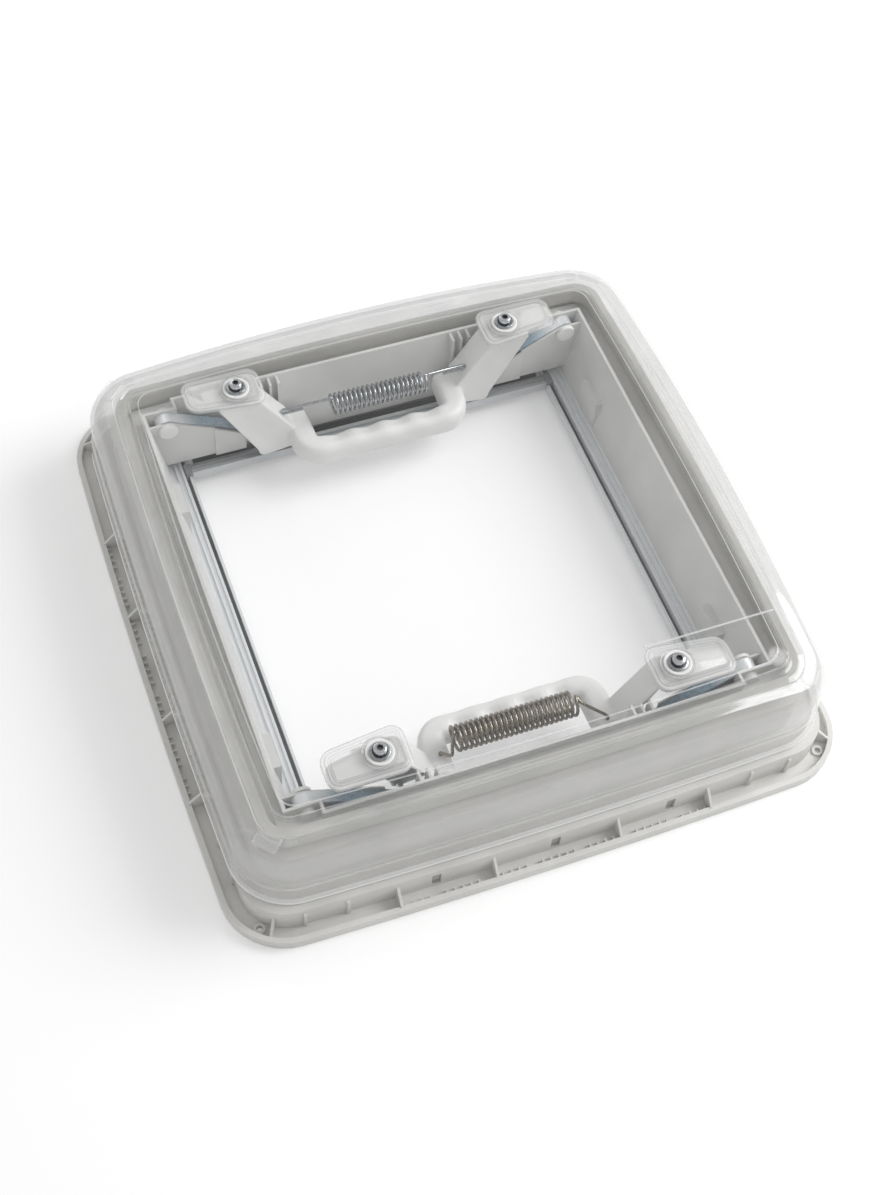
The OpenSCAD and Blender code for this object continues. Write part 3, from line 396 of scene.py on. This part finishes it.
# The profile in mm; each row ends with its share of the crest's fall and the material of the band
# before it. The skirt's rows begin with their distance in from the outline and up from the lip.
# The channel's begin with their distance out from the step, how far they lean out on the inner
# surface, for each mm of wall, and their height over a level of the dome.
profile = {
    "skirt": [(0, 0, 0, lipHighlightSlot), (0.5, 1.1, 0, lipHighlightSlot), (0.8, 6, 0, rimSlot),
              (1.3, 21.6, 0.2, rimSlot), (2.2, 22.4, 0.2, edgeHighlightSlot), (2.7, 40, 0.7, rimSlot)],
    "channel": [(8.6, 1 / 2, "crest", -0.4, 1, edgeHighlightSlot), (8.0, 1 / 2, "crest", -1.3, 1, edgeHighlightSlot),
                (3.6, 1 / 2, "groove", 2.2, 0.1, rimSlot), (2.4, 1 / 3, "groove", 0.4, 0, rimSlot),
                (1.2, 0, "groove", 0, 0, rimSlot), (-1.4, 0, "groove", 0, 0, rimSlot),
                (-2.1, -1 / 3, "groove", 0.7, 0, rimSlot), (-3, -1 / 2, "groove", 6, 0, rimSlot),
                (-3.7, -1 / 2, "groove", 7.2, 0, edgeHighlightSlot), (-9, 0, "paneHeight", -0.8, 0, paneSlot),
                (-10, 0, "paneHeight", -0.5, 0, edgeHighlightSlot), (-16, 0, "paneHeight", 0, 0, paneSlot),
                (-34, 0, "paneHeight", 0, 0, paneSlot), (-56, 0, "paneHeight", 0, 0, paneSlot)],
    "pane": [132, 115, 96, 76, 56, 36, 16, 4],
}


def domeRings(inwards):
    # Rings from the lip to the middle, as (distance from the middle, height, share of the crest's
    # fall, material of the band before), on the surface that lies this far inside the outer one
    half, crown = dome["halfSize"], dome["crownRadius"]
    rings = [(half - far - inwards, dome["lipHeight"] + up, fall, slot)
             for far, up, fall, slot in profile["skirt"]]
    for i in range(dome["crownSteps"] + 1):
        a = math.radians(90 * i / dome["crownSteps"])
        rings.append((half - dome["crownIn"] - crown + (crown - inwards) * math.cos(a),
                      dome["shoulder"] + (crown - inwards) * math.sin(a), 1, rimSlot))
    for out, lean, level, up, fall, slot in profile["channel"]:
        rings.append((dome["step"] + out + lean * inwards, dome[level] - inwards + up, fall, slot))
    for far in profile["pane"]:
        share = 1 - (far / dome["paneFlat"]) ** 2
        height = dome["paneHeight"] - inwards + dome["paneRise"] * share ** dome["paneCurve"]
        rings.append((far, height, 0, paneSlot))
    return rings


def crestShare(near):
    # 0 at the middle of a side and 1 at a corner, with no crease across the corner
    soft = dome["crestRound"]
    far = 1 - near ** 2
    return 1 - (math.sqrt(far ** 2 + soft ** 2) - soft) / (math.sqrt(1 + soft ** 2) - soft)


def whereOnLoop(x, y, half, corner):
    # A point of a rounded square, as a corner's signs and angle or as a share along a side
    middle = half - corner
    sx, sy = math.copysign(1, x), math.copysign(1, y)
    if abs(x) > middle and abs(y) > middle:
        return "corner", sx, sy, math.atan2(abs(y) - middle, abs(x) - middle)
    return ("alongX", sy, 0, x / middle) if abs(y) > abs(x) else ("alongY", sx, 0, y / middle)


def ringPoint(where, half, height, fall):
    kind, s1, s2, value = where
    bow = dome["bow"] * min(1, half / dome["bowFrom"])
    inner = half - bow
    corner = min(max(dome["corner"] - (dome["halfSize"] - half), dome["leastCorner"]), inner * 0.9)
    middle = inner - corner
    if kind == "corner":
        x, y = s1 * (middle + corner * math.cos(value)), s2 * (middle + corner * math.sin(value))
    elif kind == "alongX":
        x, y = value * middle, s1 * inner
    else:
        x, y = s1 * inner, value * middle
    x, y = x * (1 + bow / half * (1 - (y / half) ** 2)), y * (1 + bow / half * (1 - (x / half) ** 2))
    near = min(abs(x), abs(y)) / max(abs(x), abs(y))
    return Vector((x, y, height - dome["crestFall"] * fall * crestShare(near))) * mm


def placeKey(v):
    return round(v.co.x, 6), round(v.co.y, 6)


def makeDome():
    # One closed skin, drawn ring by ring: under the pane out to the lip, then up and over the
    # crest and back in over the pane
    half, corner = dome["halfSize"], dome["corner"]
    deselectAll()
    bpy.ops.mesh.primitive_plane_add(size=2 * half * mm)
    piece = bpy.context.object
    editMesh(piece)
    bpy.ops.mesh.select_all(action="SELECT")
    bpy.ops.mesh.bevel(offset=corner * mm, segments=dome["cornerSegments"], affect="VERTICES")
    bpy.ops.mesh.select_mode(type="EDGE")
    selectWhere(piece, "edges", lambda e: e.calc_length() > half * mm)
    bpy.ops.mesh.subdivide(number_cuts=dome["sideCuts"])
    bpy.ops.mesh.select_mode(type="FACE")
    bpy.ops.mesh.select_all(action="SELECT")
    shape = bmesh.from_edit_mesh(piece.data)
    places = {placeKey(v): whereOnLoop(v.co.x / mm, v.co.y / mm, half, corner) for v in shape.verts}
    rings = domeRings(dome["wall"])[::-1] + domeRings(0)
    slots = [ring[3] for ring in rings]
    # Inside, a ring's material belongs to the band after it, and the lip's shows outside only
    lastUnder = len(rings) // 2 - 2
    for i, (far, height, fall, _) in enumerate(rings):
        if i:
            bpy.ops.mesh.extrude_region_move(TRANSFORM_OT_translate={"value": (0, 0, mm)})
        shape = bmesh.from_edit_mesh(piece.data)
        moved = {}
        for v in shape.verts:
            if v.select:
                where = places[placeKey(v)]
                v.co = ringPoint(where, far, height, fall)
                moved[placeKey(v)] = where
        for face in shape.faces:
            if i and not face.select and any(v.select for v in face.verts):
                face.material_index = slots[i] if i > lastUnder else min(slots[i - 1], paneSlot)
        places = moved
        bmesh.update_edit_mesh(piece.data)
    shape = bmesh.from_edit_mesh(piece.data)
    for face in shape.faces:  # the two small faces that close the skin in the middle
        if len(face.verts) > 10:
            face.material_index = paneSlot
    bmesh.update_edit_mesh(piece.data)
    faceOutwards()
    bpy.ops.object.mode_set(mode="OBJECT")
    for material in (rimAcrylic, paneAcrylic, edgeHighlightAcrylic, lipHighlightAcrylic):
        piece.data.materials.append(material)
    finishPiece(piece, "domeCover", "dome", None, ["dome_shell"], smoothAngle=38)


# Blocks across the crest in each corner: their place along X and Y from the vent's middle, their
# length, depth and height, how they are turned, and how far their top lies below tabTop
crestTabs = [((206, 206), (19, 12, 3.2), 45, 0), ((190, 210.5), (9, 7, 2.4), 6, 1.4)]
tabTop = 90
tabEdge = 1.5
tabStep = (0.9, -0.25)


def makeCrestTabs():
    for end, (sx, sy) in corners.items():
        for letter, (place, size, turn, drop) in zip("AB", crestTabs):
            deselectAll()
            bpy.ops.mesh.primitive_cube_add(size=1)
            piece = bpy.context.object
            piece.scale = tuple(length * mm for length in size)
            bpy.ops.object.transform_apply(location=True, rotation=True, scale=True)
            editMesh(piece, "EDGE")
            bpy.ops.mesh.select_all(action="SELECT")
            bpy.ops.mesh.bevel(offset=tabEdge * mm, segments=4)
            stepTop(piece, [tabStep])
            piece.rotation_euler = (0, 0, math.radians(-turn) * sx * sy)
            piece.location = (sx * place[0] * mm, sy * place[1] * mm, (tabTop - size[2] / 2 - drop) * mm)
            finishPiece(piece, "crestTab" + end + letter, "dome", tabAcrylic,
                        ["dome_shell"])


makeDome()
makeCrestTabs()
print("dome made")

# Handles: one moulding each, with soft edges

grips = {"weld": 0.02, "voxel": 1.1, "rounds": 2, "share": 0.5}


def makeGrip(nodeName, name):
    piece = linkedCopy(nodes[nodeName])
    for key in list(piece.keys()):
        del piece[key]
    piece.parent = None
    piece.hide_render = False
    editMesh(piece, "VERT")
    bpy.ops.mesh.select_all(action="SELECT")
    bpy.ops.mesh.remove_doubles(threshold=grips["weld"] * mm)
    bpy.ops.object.mode_set(mode="OBJECT")
    applyModifier(piece, "REMESH", mode="VOXEL", voxel_size=grips["voxel"] * mm)
    applyModifier(piece, "SMOOTH", factor=grips["share"], iterations=grips["rounds"])
    finishPiece(piece, name, "dome", gripNylon, [nodeName], smoothAngle=60)


makeGrip("handle_rear", "gripRear")
makeGrip("handle_front", "gripFront")
print("grips made")

# Springs: one wire each, wound, with its ends hooked to the arms

springs = {
    "wire": 2.5, "height": 62.5, "reach": 160, "hook": 2.4, "hookBack": 5, "hookEnd": (8, 16),
    "perTurn": 20, "gap": 2, "armX": 78.9, "legX": 66, "legTop": 48.3, "legBack": 176.5,
    "rear": {"radius": 8, "length": 80, "curls": 20, "start": -38},
    "front": {"radius": 9.25, "length": 94, "curls": 24, "start": -41},
}


def coilPoints(coil):
    steps, n = springs["perTurn"], coil["curls"] * springs["perTurn"]
    return [(coil["start"] + coil["length"] * i / n,
             springs["reach"] + coil["radius"] * math.sin(2 * math.pi * i / steps),
             springs["height"] + coil["radius"] * math.cos(2 * math.pi * i / steps)) for i in range(n + 1)]


def sideHook(x, reach, top):
    # From a coil's end at x out to an arm at reach, round a half turn, and a little way back
    sign, r, y, z = (1 if reach > 0 else -1), springs["hook"], springs["reach"], springs["height"]
    back = y + springs["hookBack"]
    points = [(x + (reach - x) * 0.3 * k, y + 1.6 * k, top + (z + r - top) * k / 3) for k in range(4)]
    for degrees in (60, 30, 0, -30, -60, -90):
        a = math.radians(degrees)
        points.append((reach - sign * r * (1 - math.cos(a)), back, z + r * math.sin(a)))
    return points + [(reach - sign * (r + far), back, z - r) for far in springs["hookEnd"]]


def rounded(points, steps=5):
    # A smooth line through the points, by Catmull and Rom's cubic
    ends = [points[0]] + list(points) + [points[-1]]
    line = []
    for i in range(1, len(ends) - 2):
        p0, p1, p2, p3 = (Vector(p) for p in ends[i - 1:i + 3])
        for k in range(steps):
            t = k / steps
            line.append(0.5 * (2 * p1 + (p2 - p0) * t + (2 * p0 - 5 * p1 + 4 * p2 - p3) * t * t
                               + (3 * p1 - p0 - 3 * p2 + p3) * t ** 3))
    return [tuple(p) for p in line] + [tuple(points[-1])]


def makeWire(points, name, body, material, node, turned=False):
    curve = bpy.data.curves.new(name, "CURVE")
    curve.dimensions = "3D"
    line = curve.splines.new("POLY")
    line.points.add(len(points) - 1)
    for point, place in zip(line.points, points):
        sign = -1 if turned else 1
        point.co = (sign * place[0] * mm, sign * place[1] * mm, place[2] * mm, 1)
    curve.bevel_depth = springs["wire"] / 2 * mm
    curve.bevel_resolution = 3
    curve.use_fill_caps = True
    piece = bpy.data.objects.new(name, curve)
    bpy.context.scene.collection.objects.link(piece)
    pick(piece)
    bpy.ops.object.convert(target="MESH")
    finishPiece(bpy.context.object, name, body, material, [node], smoothAngle=60)


def makeRearSpring():
    coil = springs["rear"]
    top = springs["height"] + coil["radius"]
    left, right = coil["start"] - springs["gap"], coil["start"] + coil["length"] + springs["gap"]
    path = (rounded(sideHook(left, -springs["armX"], top))[::-1] + coilPoints(coil)
            + rounded(sideHook(right, springs["armX"], top)))
    makeWire(path, "springRear", "dome", springSteel, "spring_rear")


def makeFrontSpring():
    # Drawn as if at the rear, then turned: from one leg of the grip up to the coil, along it, and
    # down in a hook to the other leg
    coil, x, z, back = springs["front"], springs["legX"], springs["legTop"], springs["legBack"]
    start, end, reach = coil["start"], coil["start"] + coil["length"], springs["reach"]
    top, turns = springs["height"] + coil["radius"], coilPoints(coil)
    first = [(2 - x, back - 3, z), (2 - x, back - 3, z + 2.5), (4 - x, back - 5, z + 5),
             (start - 5, reach + 6, top - 4), turns[0]]
    last = [turns[-1], (end + 2, reach + 3, top - 3), (end + 3, reach + 6, springs["height"]),
            (end + 3.5, reach + 8, z + 7), (end + 6, reach + 6, z + 4.5), (x - 3, reach + 2, z + 3),
            (x - 3, reach + 2, z)]
    path = rounded(first)[:-1] + turns + rounded(last)[1:]
    makeWire(path, "springFront", "dome", springWorn, "spring_front", turned=True)


makeRearSpring()
makeFrontSpring()
print("springs made")

# Dome screws, washers and pads

# A radius and a height each, and the steps of each top face as (width, rise)
screws = {
    "x": 113.5, "y": 171, "padTop": 97.2, "socket": 4.5, "socketEdge": 0.05, "socketTop": 0.2,
    "cup": (10.5, 1.5), "cupSteps": [(1.0, 0), (0.5, -0.35)],
    "washer": (7.6, 1.2), "washerSteps": [(1.4, 0.25), (1.0, -0.15)],
    "head": (4.9, 5), "headSteps": [(0.5, 0.12)],
    "neck": (5.6, 1.1), "neckSteps": [(0.4, -0.1)],
    "ring": (13.4, 0.5), "ringSunk": 0.2, "ringSteps": [(0.7, 0), (0.5, -0.35)],
}
screwFoot = screws["padTop"] + screws["cup"][1] + screws["washer"][1]
# The outline of a pad on the dome, seen from above at the rear right, and the steps of its top
padOutline = {
    "x0": 92.5, "x1": 155.5, "back": 190, "front0": 151, "front1": 158, "corner": 10, "foot": 94.8,
    "wall": 1.5, "steps": [(0.7, 0.3), (2.0, 0), (0.7, 0.5), (0.4, 0.1), (1.4, 0), (0.5, -0.25),
                           (1.2, 0), (0.5, 0.25)],
    "flat": 0.97,
}


def disc(radius, height, z, sides=48, edge=0.4, segments=3):
    deselectAll()
    bpy.ops.mesh.primitive_cylinder_add(vertices=sides, radius=radius * mm, depth=height * mm,
                                        location=(0, 0, (z + height / 2) * mm))
    piece = bpy.context.object
    bpy.ops.object.transform_apply(location=True, rotation=True, scale=True)
    editMesh(piece, "EDGE")
    selectWhere(piece, "edges", lambda e: all(abs(v.co.z - (z + height) * mm) < 1e-6 for v in e.verts))
    bpy.ops.mesh.bevel(offset=edge * mm, segments=segments)
    return piece


def makeCup():
    return stepTop(disc(*screws["cup"], screws["padTop"], edge=0.6), screws["cupSteps"])


def makeWasher():
    foot = screws["padTop"] + screws["cup"][1]
    return stepTop(disc(*screws["washer"], foot, edge=0.45), screws["washerSteps"])


def makeNeck():
    # The spring lock under a screw's head, painted dark: painted shade under the head
    return stepTop(disc(*screws["neck"], screwFoot, edge=0.3), screws["neckSteps"])


def makeHead():
    height = screws["head"][1]
    piece = stepTop(disc(*screws["head"], screwFoot, edge=1.1, segments=5), screws["headSteps"])
    deselectAll()
    hexRadius, hexDepth = screws["socket"] / math.sqrt(3), 6
    bpy.ops.mesh.primitive_cylinder_add(
        vertices=6, radius=hexRadius * mm, depth=hexDepth * mm,
        location=(0, 0, (screwFoot + height / 2 + hexDepth / 2) * mm))
    key = bpy.context.object
    bpy.ops.object.transform_apply(location=True, rotation=True, scale=True)
    applyModifier(piece, "BOOLEAN", object=key, operation="DIFFERENCE", solver="EXACT")
    bpy.data.objects.remove(key)
    piece.data.materials.append(screwSteel)
    piece.data.materials.append(socketShadeSteel)
    reach = (hexRadius + screws["socketEdge"]) * mm
    top = (screwFoot + height - screws["socketTop"]) * mm
    # Faces inside the hex socket take the darker steel: painted shade in the recess
    for face in piece.data.polygons:
        inside = math.hypot(face.center.x, face.center.y) < reach
        face.material_index = 1 if inside and face.center.z < top else 0
    return piece


def markEdges(piece):
    # The sloping bands of a clear pad are painted grey: fine lines of painted shade where its steps bend the
    # light
    piece.data.materials.append(padClear)
    piece.data.materials.append(padEdgeShade)
    for face in piece.data.polygons:
        face.material_index = 1 if abs(face.normal.z) < padOutline["flat"] else 0
    return piece


def makePad():
    # The thickened acrylic round a handle's plate: a stepped edge, then shallow U-shaped steps
    deselectAll()
    bpy.ops.mesh.primitive_plane_add(size=2)
    piece = bpy.context.object
    editMesh(piece, "VERT")
    shape = bmesh.from_edit_mesh(piece.data)
    for v in shape.verts:
        inner = v.co.x < 0
        front = padOutline["front0"] if inner else padOutline["front1"]
        v.co = ((padOutline["x0"] if inner else padOutline["x1"]) * mm,
                (front if v.co.y < 0 else padOutline["back"]) * mm, padOutline["foot"] * mm)
    bmesh.update_edit_mesh(piece.data)
    bpy.ops.mesh.select_all(action="SELECT")
    bpy.ops.mesh.bevel(offset=padOutline["corner"] * mm, segments=8, affect="VERTICES")
    bpy.ops.mesh.select_mode(type="FACE")
    bpy.ops.mesh.select_all(action="SELECT")
    bpy.ops.mesh.extrude_region_move(TRANSFORM_OT_translate={"value": (0, 0, padOutline["wall"] * mm)})
    insetSteps(padOutline["steps"])
    faceOutwards()
    bpy.ops.object.mode_set(mode="OBJECT")
    return markEdges(piece)


def makeRing():
    # The seat moulded in the pad round the sealing washer
    ring = disc(*screws["ring"], screws["padTop"] - screws["ringSunk"], sides=64, edge=0.25)
    return markEdges(stepTop(ring, screws["ringSteps"]))


def placeFour(make, name, material, node, place=None, body="dome"):
    # A piece made round the vertical axis moves to its place in each corner; one that is made at
    # the rear right is mirrored and turned
    model = make()
    for end, (sx, sy) in corners.items():
        piece = linkedCopy(model)
        if place:
            piece.location = (sx * place[0] * mm, sy * place[1] * mm, 0)
        elif sx * sy < 0:
            pick(piece)
            piece.scale = (-1, 1, 1)
            bpy.ops.object.transform_apply(location=True, rotation=True, scale=True)
            editMesh(piece)
            faceOutwards()
            bpy.ops.object.mode_set(mode="OBJECT")
        piece.rotation_euler = (0, 0, 0 if sy > 0 else math.pi)
        finishPiece(piece, name + end, body, material, [node] if node else [])
    bpy.data.objects.remove(model)


screwPlace = (screws["x"], screws["y"])
for make, name, material, slot, node in [
        (makeCup, "sealingWasher", washerNylon, "washer_plastic", "sealing_washers"),
        (makeWasher, "steelWasher", washerSteel, "screw_steel", "screw_washers"),
        (makeHead, "screwHead", None, "screw_steel", "dome_screws"),
        (makeNeck, "lockWasher", neckShadeSteel, "screw_steel", "screw_washers")]:
    placeFour(make, name, material, node, screwPlace)
placeFour(makePad, "domePad", None, "dome_shell")
placeFour(makeRing, "padRing", None, "dome_shell", screwPlace)
print("screws and pads made")

# Pivot caps: white buttons on the well side of the levers

caps = {"x": 170.5, "z": 68, "radius": 7.8, "inner": 167.2, "depth": 3, "edge": 1.2,
        "steps": [(1.8, 0.12), (0.8, 0)]}


def makeCaps():
    model = stepTop(disc(caps["radius"], caps["depth"], 0, edge=caps["edge"], segments=5), caps["steps"])
    for end, (sx, sy) in corners.items():
        piece = linkedCopy(model)
        piece.rotation_euler = (math.radians(90 if sy > 0 else -90), 0, 0)
        piece.location = (sx * caps["x"] * mm, sy * (caps["inner"] + caps["depth"]) * mm, caps["z"] * mm)
        finishPiece(piece, "pivotCap" + end, "frame", washerNylon, ["pivot_caps"])
    bpy.data.objects.remove(model)


makeCaps()
print("pivot caps made")

# The panels that stand before the levers, moulded with the well: a high one by the pivot and
# a lower one, a little nearer the middle. Each outline is a list of (x, z) at the rear right.
panels = {
    "inner": 170.4, "thickness": 1.8, "step": 1.2, "edge": 0.3,
    "high": [(132.7, 24), (175.9, 24), (185.4, 74.8), (168.5, 74.8), (132.7, 55.9)],
    "low": [(108, 22.8), (133.7, 22.8), (133.7, 56.4), (108, 40.9)],
}


def makeSlab(outline, front, back, edge):
    # A flat moulding with its outline in X and Z, between two places along Y, its front edges eased
    deselectAll()
    bpy.ops.mesh.primitive_circle_add(vertices=len(outline), fill_type="NGON")
    piece = bpy.context.object
    editMesh(piece)
    bpy.ops.mesh.select_all(action="SELECT")
    shape = bmesh.from_edit_mesh(piece.data)
    shape.verts.ensure_lookup_table()
    for v, (x, z) in zip(shape.verts, outline):
        v.co = (x * mm, back * mm, z * mm)
    bmesh.update_edit_mesh(piece.data)
    bpy.ops.mesh.extrude_region_move(TRANSFORM_OT_translate={"value": (0, (front - back) * mm, 0)})
    faceOutwards()
    bpy.ops.mesh.select_mode(type="EDGE")
    selectWhere(piece, "edges", lambda e: all(v.co.y < (front + 0.1) * mm for v in e.verts))
    bpy.ops.mesh.bevel(offset=edge * mm, segments=2)
    bpy.ops.object.mode_set(mode="OBJECT")
    return piece


def makePanel(kind):
    inner = panels["inner"] - (panels["step"] if kind == "low" else 0)
    return makeSlab(panels[kind], inner, inner + panels["thickness"], panels["edge"])


placeFour(lambda: makePanel("high"), "highPanel", wellAbs, None, body="frame")
placeFour(lambda: makePanel("low"), "lowPanel", wellAbs, None, body="frame")
print("lever panels made")

# A clear ridge on the pane, from the front right pad out to the step, painted with the edges' whiter milk as
# a painted highlight line
ridge = {"outline": [(96, 95.6), (201, 95.2), (201, 96.6), (96, 97)],
         "y0": -151.4, "y1": -150.0, "edge": 0.3}
finishPiece(makeSlab(ridge["outline"], ridge["y0"], ridge["y1"], ridge["edge"]),
            "paneRidge", "dome", edgeHighlightAcrylic, ["dome_shell"])

# Small ribs moulded on the flange: two posts on the collar near each end of a side, and one
# sloping rib across the floor in each corner. A post's place is its x and y at the rear right,
# then how the side that it stands on is turned.
flangeRibs = {
    "posts": [(158, 236.6, 0), (189.5, 235.6, 0), (228.7, 158, 90), (227.8, 189.5, 90)],
    "post": [(-1.25, 2.9), (1.25, 2.9), (1.1, 22), (-1.1, 22)], "proud": 2, "sunk": 0.5, "edge": 0.3,
    "cornerX": 195, "cornerY": 203, "thickness": 2,
    "rib": [(29.5, 2.9), (42.5, 2.9), (42.5, 8.6), (31, 19), (29.5, 19)], "turn": 60,
}


def joinAll(copies, name):
    deselectAll()
    for piece in copies:
        piece.select_set(True)
    bpy.context.view_layer.objects.active = copies[0]
    bpy.ops.object.join()
    finishPiece(bpy.context.object, name, "frame", frameAbs)


def makeFlangeRibs():
    posts, ribs = [], []
    half = flangeRibs["thickness"] / 2
    for sx, sy in corners.values():
        for x, y, turn in flangeRibs["posts"]:
            post = makeSlab(flangeRibs["post"], -flangeRibs["proud"], flangeRibs["sunk"], flangeRibs["edge"])
            facing = (0 if sy < 0 else 180) if turn == 0 else 90 * sx
            post.rotation_euler = (0, 0, math.radians(facing))
            post.location = (sx * x * mm, sy * y * mm, 0)
            posts.append(post)
        rib = makeSlab(flangeRibs["rib"], -half, half, flangeRibs["edge"])
        angle = math.radians(flangeRibs["turn"] if sx * sy > 0 else 90 - flangeRibs["turn"])
        rib.rotation_euler = (0, 0, math.atan2(sy * math.sin(angle), sx * math.cos(angle)))
        rib.location = (sx * flangeRibs["cornerX"] * mm, sy * flangeRibs["cornerY"] * mm, 0)
        ribs.append(rib)
    joinAll(posts, "collarPosts")
    joinAll(ribs, "cornerRibs")


makeFlangeRibs()
print("flange ribs made")

# The parked screen, folded between the pull bar and the rear cross bar

screen = {
    "y0": 171.3, "y1": 178.7, "low": 9.4, "high": 15.3, "half": 152, "pleats": 16, "cloth": 0.12,
    "thread": 1.2, "threadDepth": 0.2,
}


def screenNet():
    # Black polyester net: threads about 0.3 mm apart, drawn at 1.2 mm so that they show
    material, tree, output, coords = newMaterial("blackPolyesterNet")
    weave = addNode(tree, "ShaderNodeTexWave", {
        "Vector": coords, "Scale": perMetre / screen["thread"] / 6.283}, bands_direction="X").outputs["Fac"]
    colour = mixColours(tree, mapRange(tree, weave, {}), linearColour("#151516"), linearColour("#2A2A2C"))
    relief = addNode(tree, "ShaderNodeBump", {
        "Height": weave, "Strength": 0.3, "Distance": screen["threadDepth"] * mm})
    shader = addNode(tree, "ShaderNodeBsdfPrincipled", {
        "Base Color": colour, "Roughness": 0.85, "Normal": relief.outputs["Normal"]})
    tree.links.new(shader.outputs["BSDF"], output.inputs["Surface"])
    return material


def makeScreen():
    count = screen["pleats"] * 2
    pitch = (screen["y1"] - screen["y0"]) / count
    deselectAll()
    bpy.ops.mesh.primitive_plane_add(size=1)
    piece = bpy.context.object
    editMesh(piece, "EDGE")
    selectWhere(piece, "edges", lambda e: all(v.co.y < 0 for v in e.verts))
    bpy.ops.mesh.select_all(action="INVERT")
    bpy.ops.mesh.delete(type="EDGE")
    shape = bmesh.from_edit_mesh(piece.data)
    for v in shape.verts:
        v.co = (math.copysign(screen["half"] * mm, v.co.x), screen["y0"] * mm, screen["low"] * mm)
        v.select_set(True)
    shape.select_flush(True)
    bmesh.update_edit_mesh(piece.data)
    rise = (screen["high"] - screen["low"]) * mm
    for i in range(count):
        bpy.ops.mesh.extrude_region_move(TRANSFORM_OT_translate={
            "value": (0, pitch * mm, rise if i % 2 == 0 else -rise)})
    bpy.ops.object.mode_set(mode="OBJECT")
    applyModifier(piece, "SOLIDIFY", thickness=screen["cloth"] * mm, offset=0)
    finishPiece(piece, "pleatedScreen", "frame", screenNet(), ["pleated_screen"],
                smoothAngle=20)


makeScreen()
print("screen made")

# Floor and light

studio = {
    "world": 0.56, "floorGlow": 0.22, "floorSize": 30, "floorDrop": 0.0002, "floorShade": 0.86,
    # Each lamp's name, place and size in metres, and its power in watts
    "lamps": [("key", (1.95, -0.1, 1.75), (1.6, 1.6), 46), ("fill", (-0.4, 1.9, 1.5), (1.2, 1.2), 3),
              ("leftStrip", (-1.5, 0.1, 1.2), (0.1, 2.4), 0.6),
              ("frontStrip", (0.1, -1.7, 1.0), (2.4, 0.1), 0.6)],
}


def makeFloor():
    deselectAll()
    bpy.ops.mesh.primitive_plane_add(size=studio["floorSize"], location=(0, 0, -studio["floorDrop"]))
    floor = bpy.context.object
    floor.name = "floor"
    material, tree, output, _ = newMaterial("whitePaperFloor")
    path = addNode(tree, "ShaderNodeLightPath").outputs
    seen = calc(tree, "MAXIMUM", path["Is Camera Ray"], path["Is Glossy Ray"])
    seen = calc(tree, "MAXIMUM", seen, path["Is Transmission Ray"])
    glow = calc(tree, "MULTIPLY", seen, studio["floorGlow"])
    shade = studio["floorShade"]
    shader = addNode(tree, "ShaderNodeBsdfPrincipled", {
        "Base Color": (shade, shade, shade, 1), "Roughness": 0.9, "Specular IOR Level": 0.0,
        "Emission Color": (1, 1, 1, 1), "Emission Strength": glow})
    tree.links.new(shader.outputs["BSDF"], output.inputs["Surface"])
    paint(floor, material)


def makeLights():
    world = bpy.data.worlds.new("studio")
    bpy.context.scene.world = world
    world.use_nodes = True
    background = world.node_tree.nodes["Background"].inputs
    background["Color"].default_value = (1, 1, 1, 1)
    background["Strength"].default_value = studio["world"]
    for name, place, size, power in studio["lamps"]:
        lamp = bpy.data.lights.new(name, "AREA")
        lamp.shape = "RECTANGLE"
        lamp.size, lamp.size_y = size
        lamp.energy = power
        holder = bpy.data.objects.new(name, lamp)
        bpy.context.scene.collection.objects.link(holder)
        holder.location = place
        holder.rotation_euler = (-Vector(place)).to_track_quat("-Z", "Y").to_euler()
    bpy.context.scene.view_settings.view_transform = "Standard"


makeFloor()
makeLights()
print("studio made")
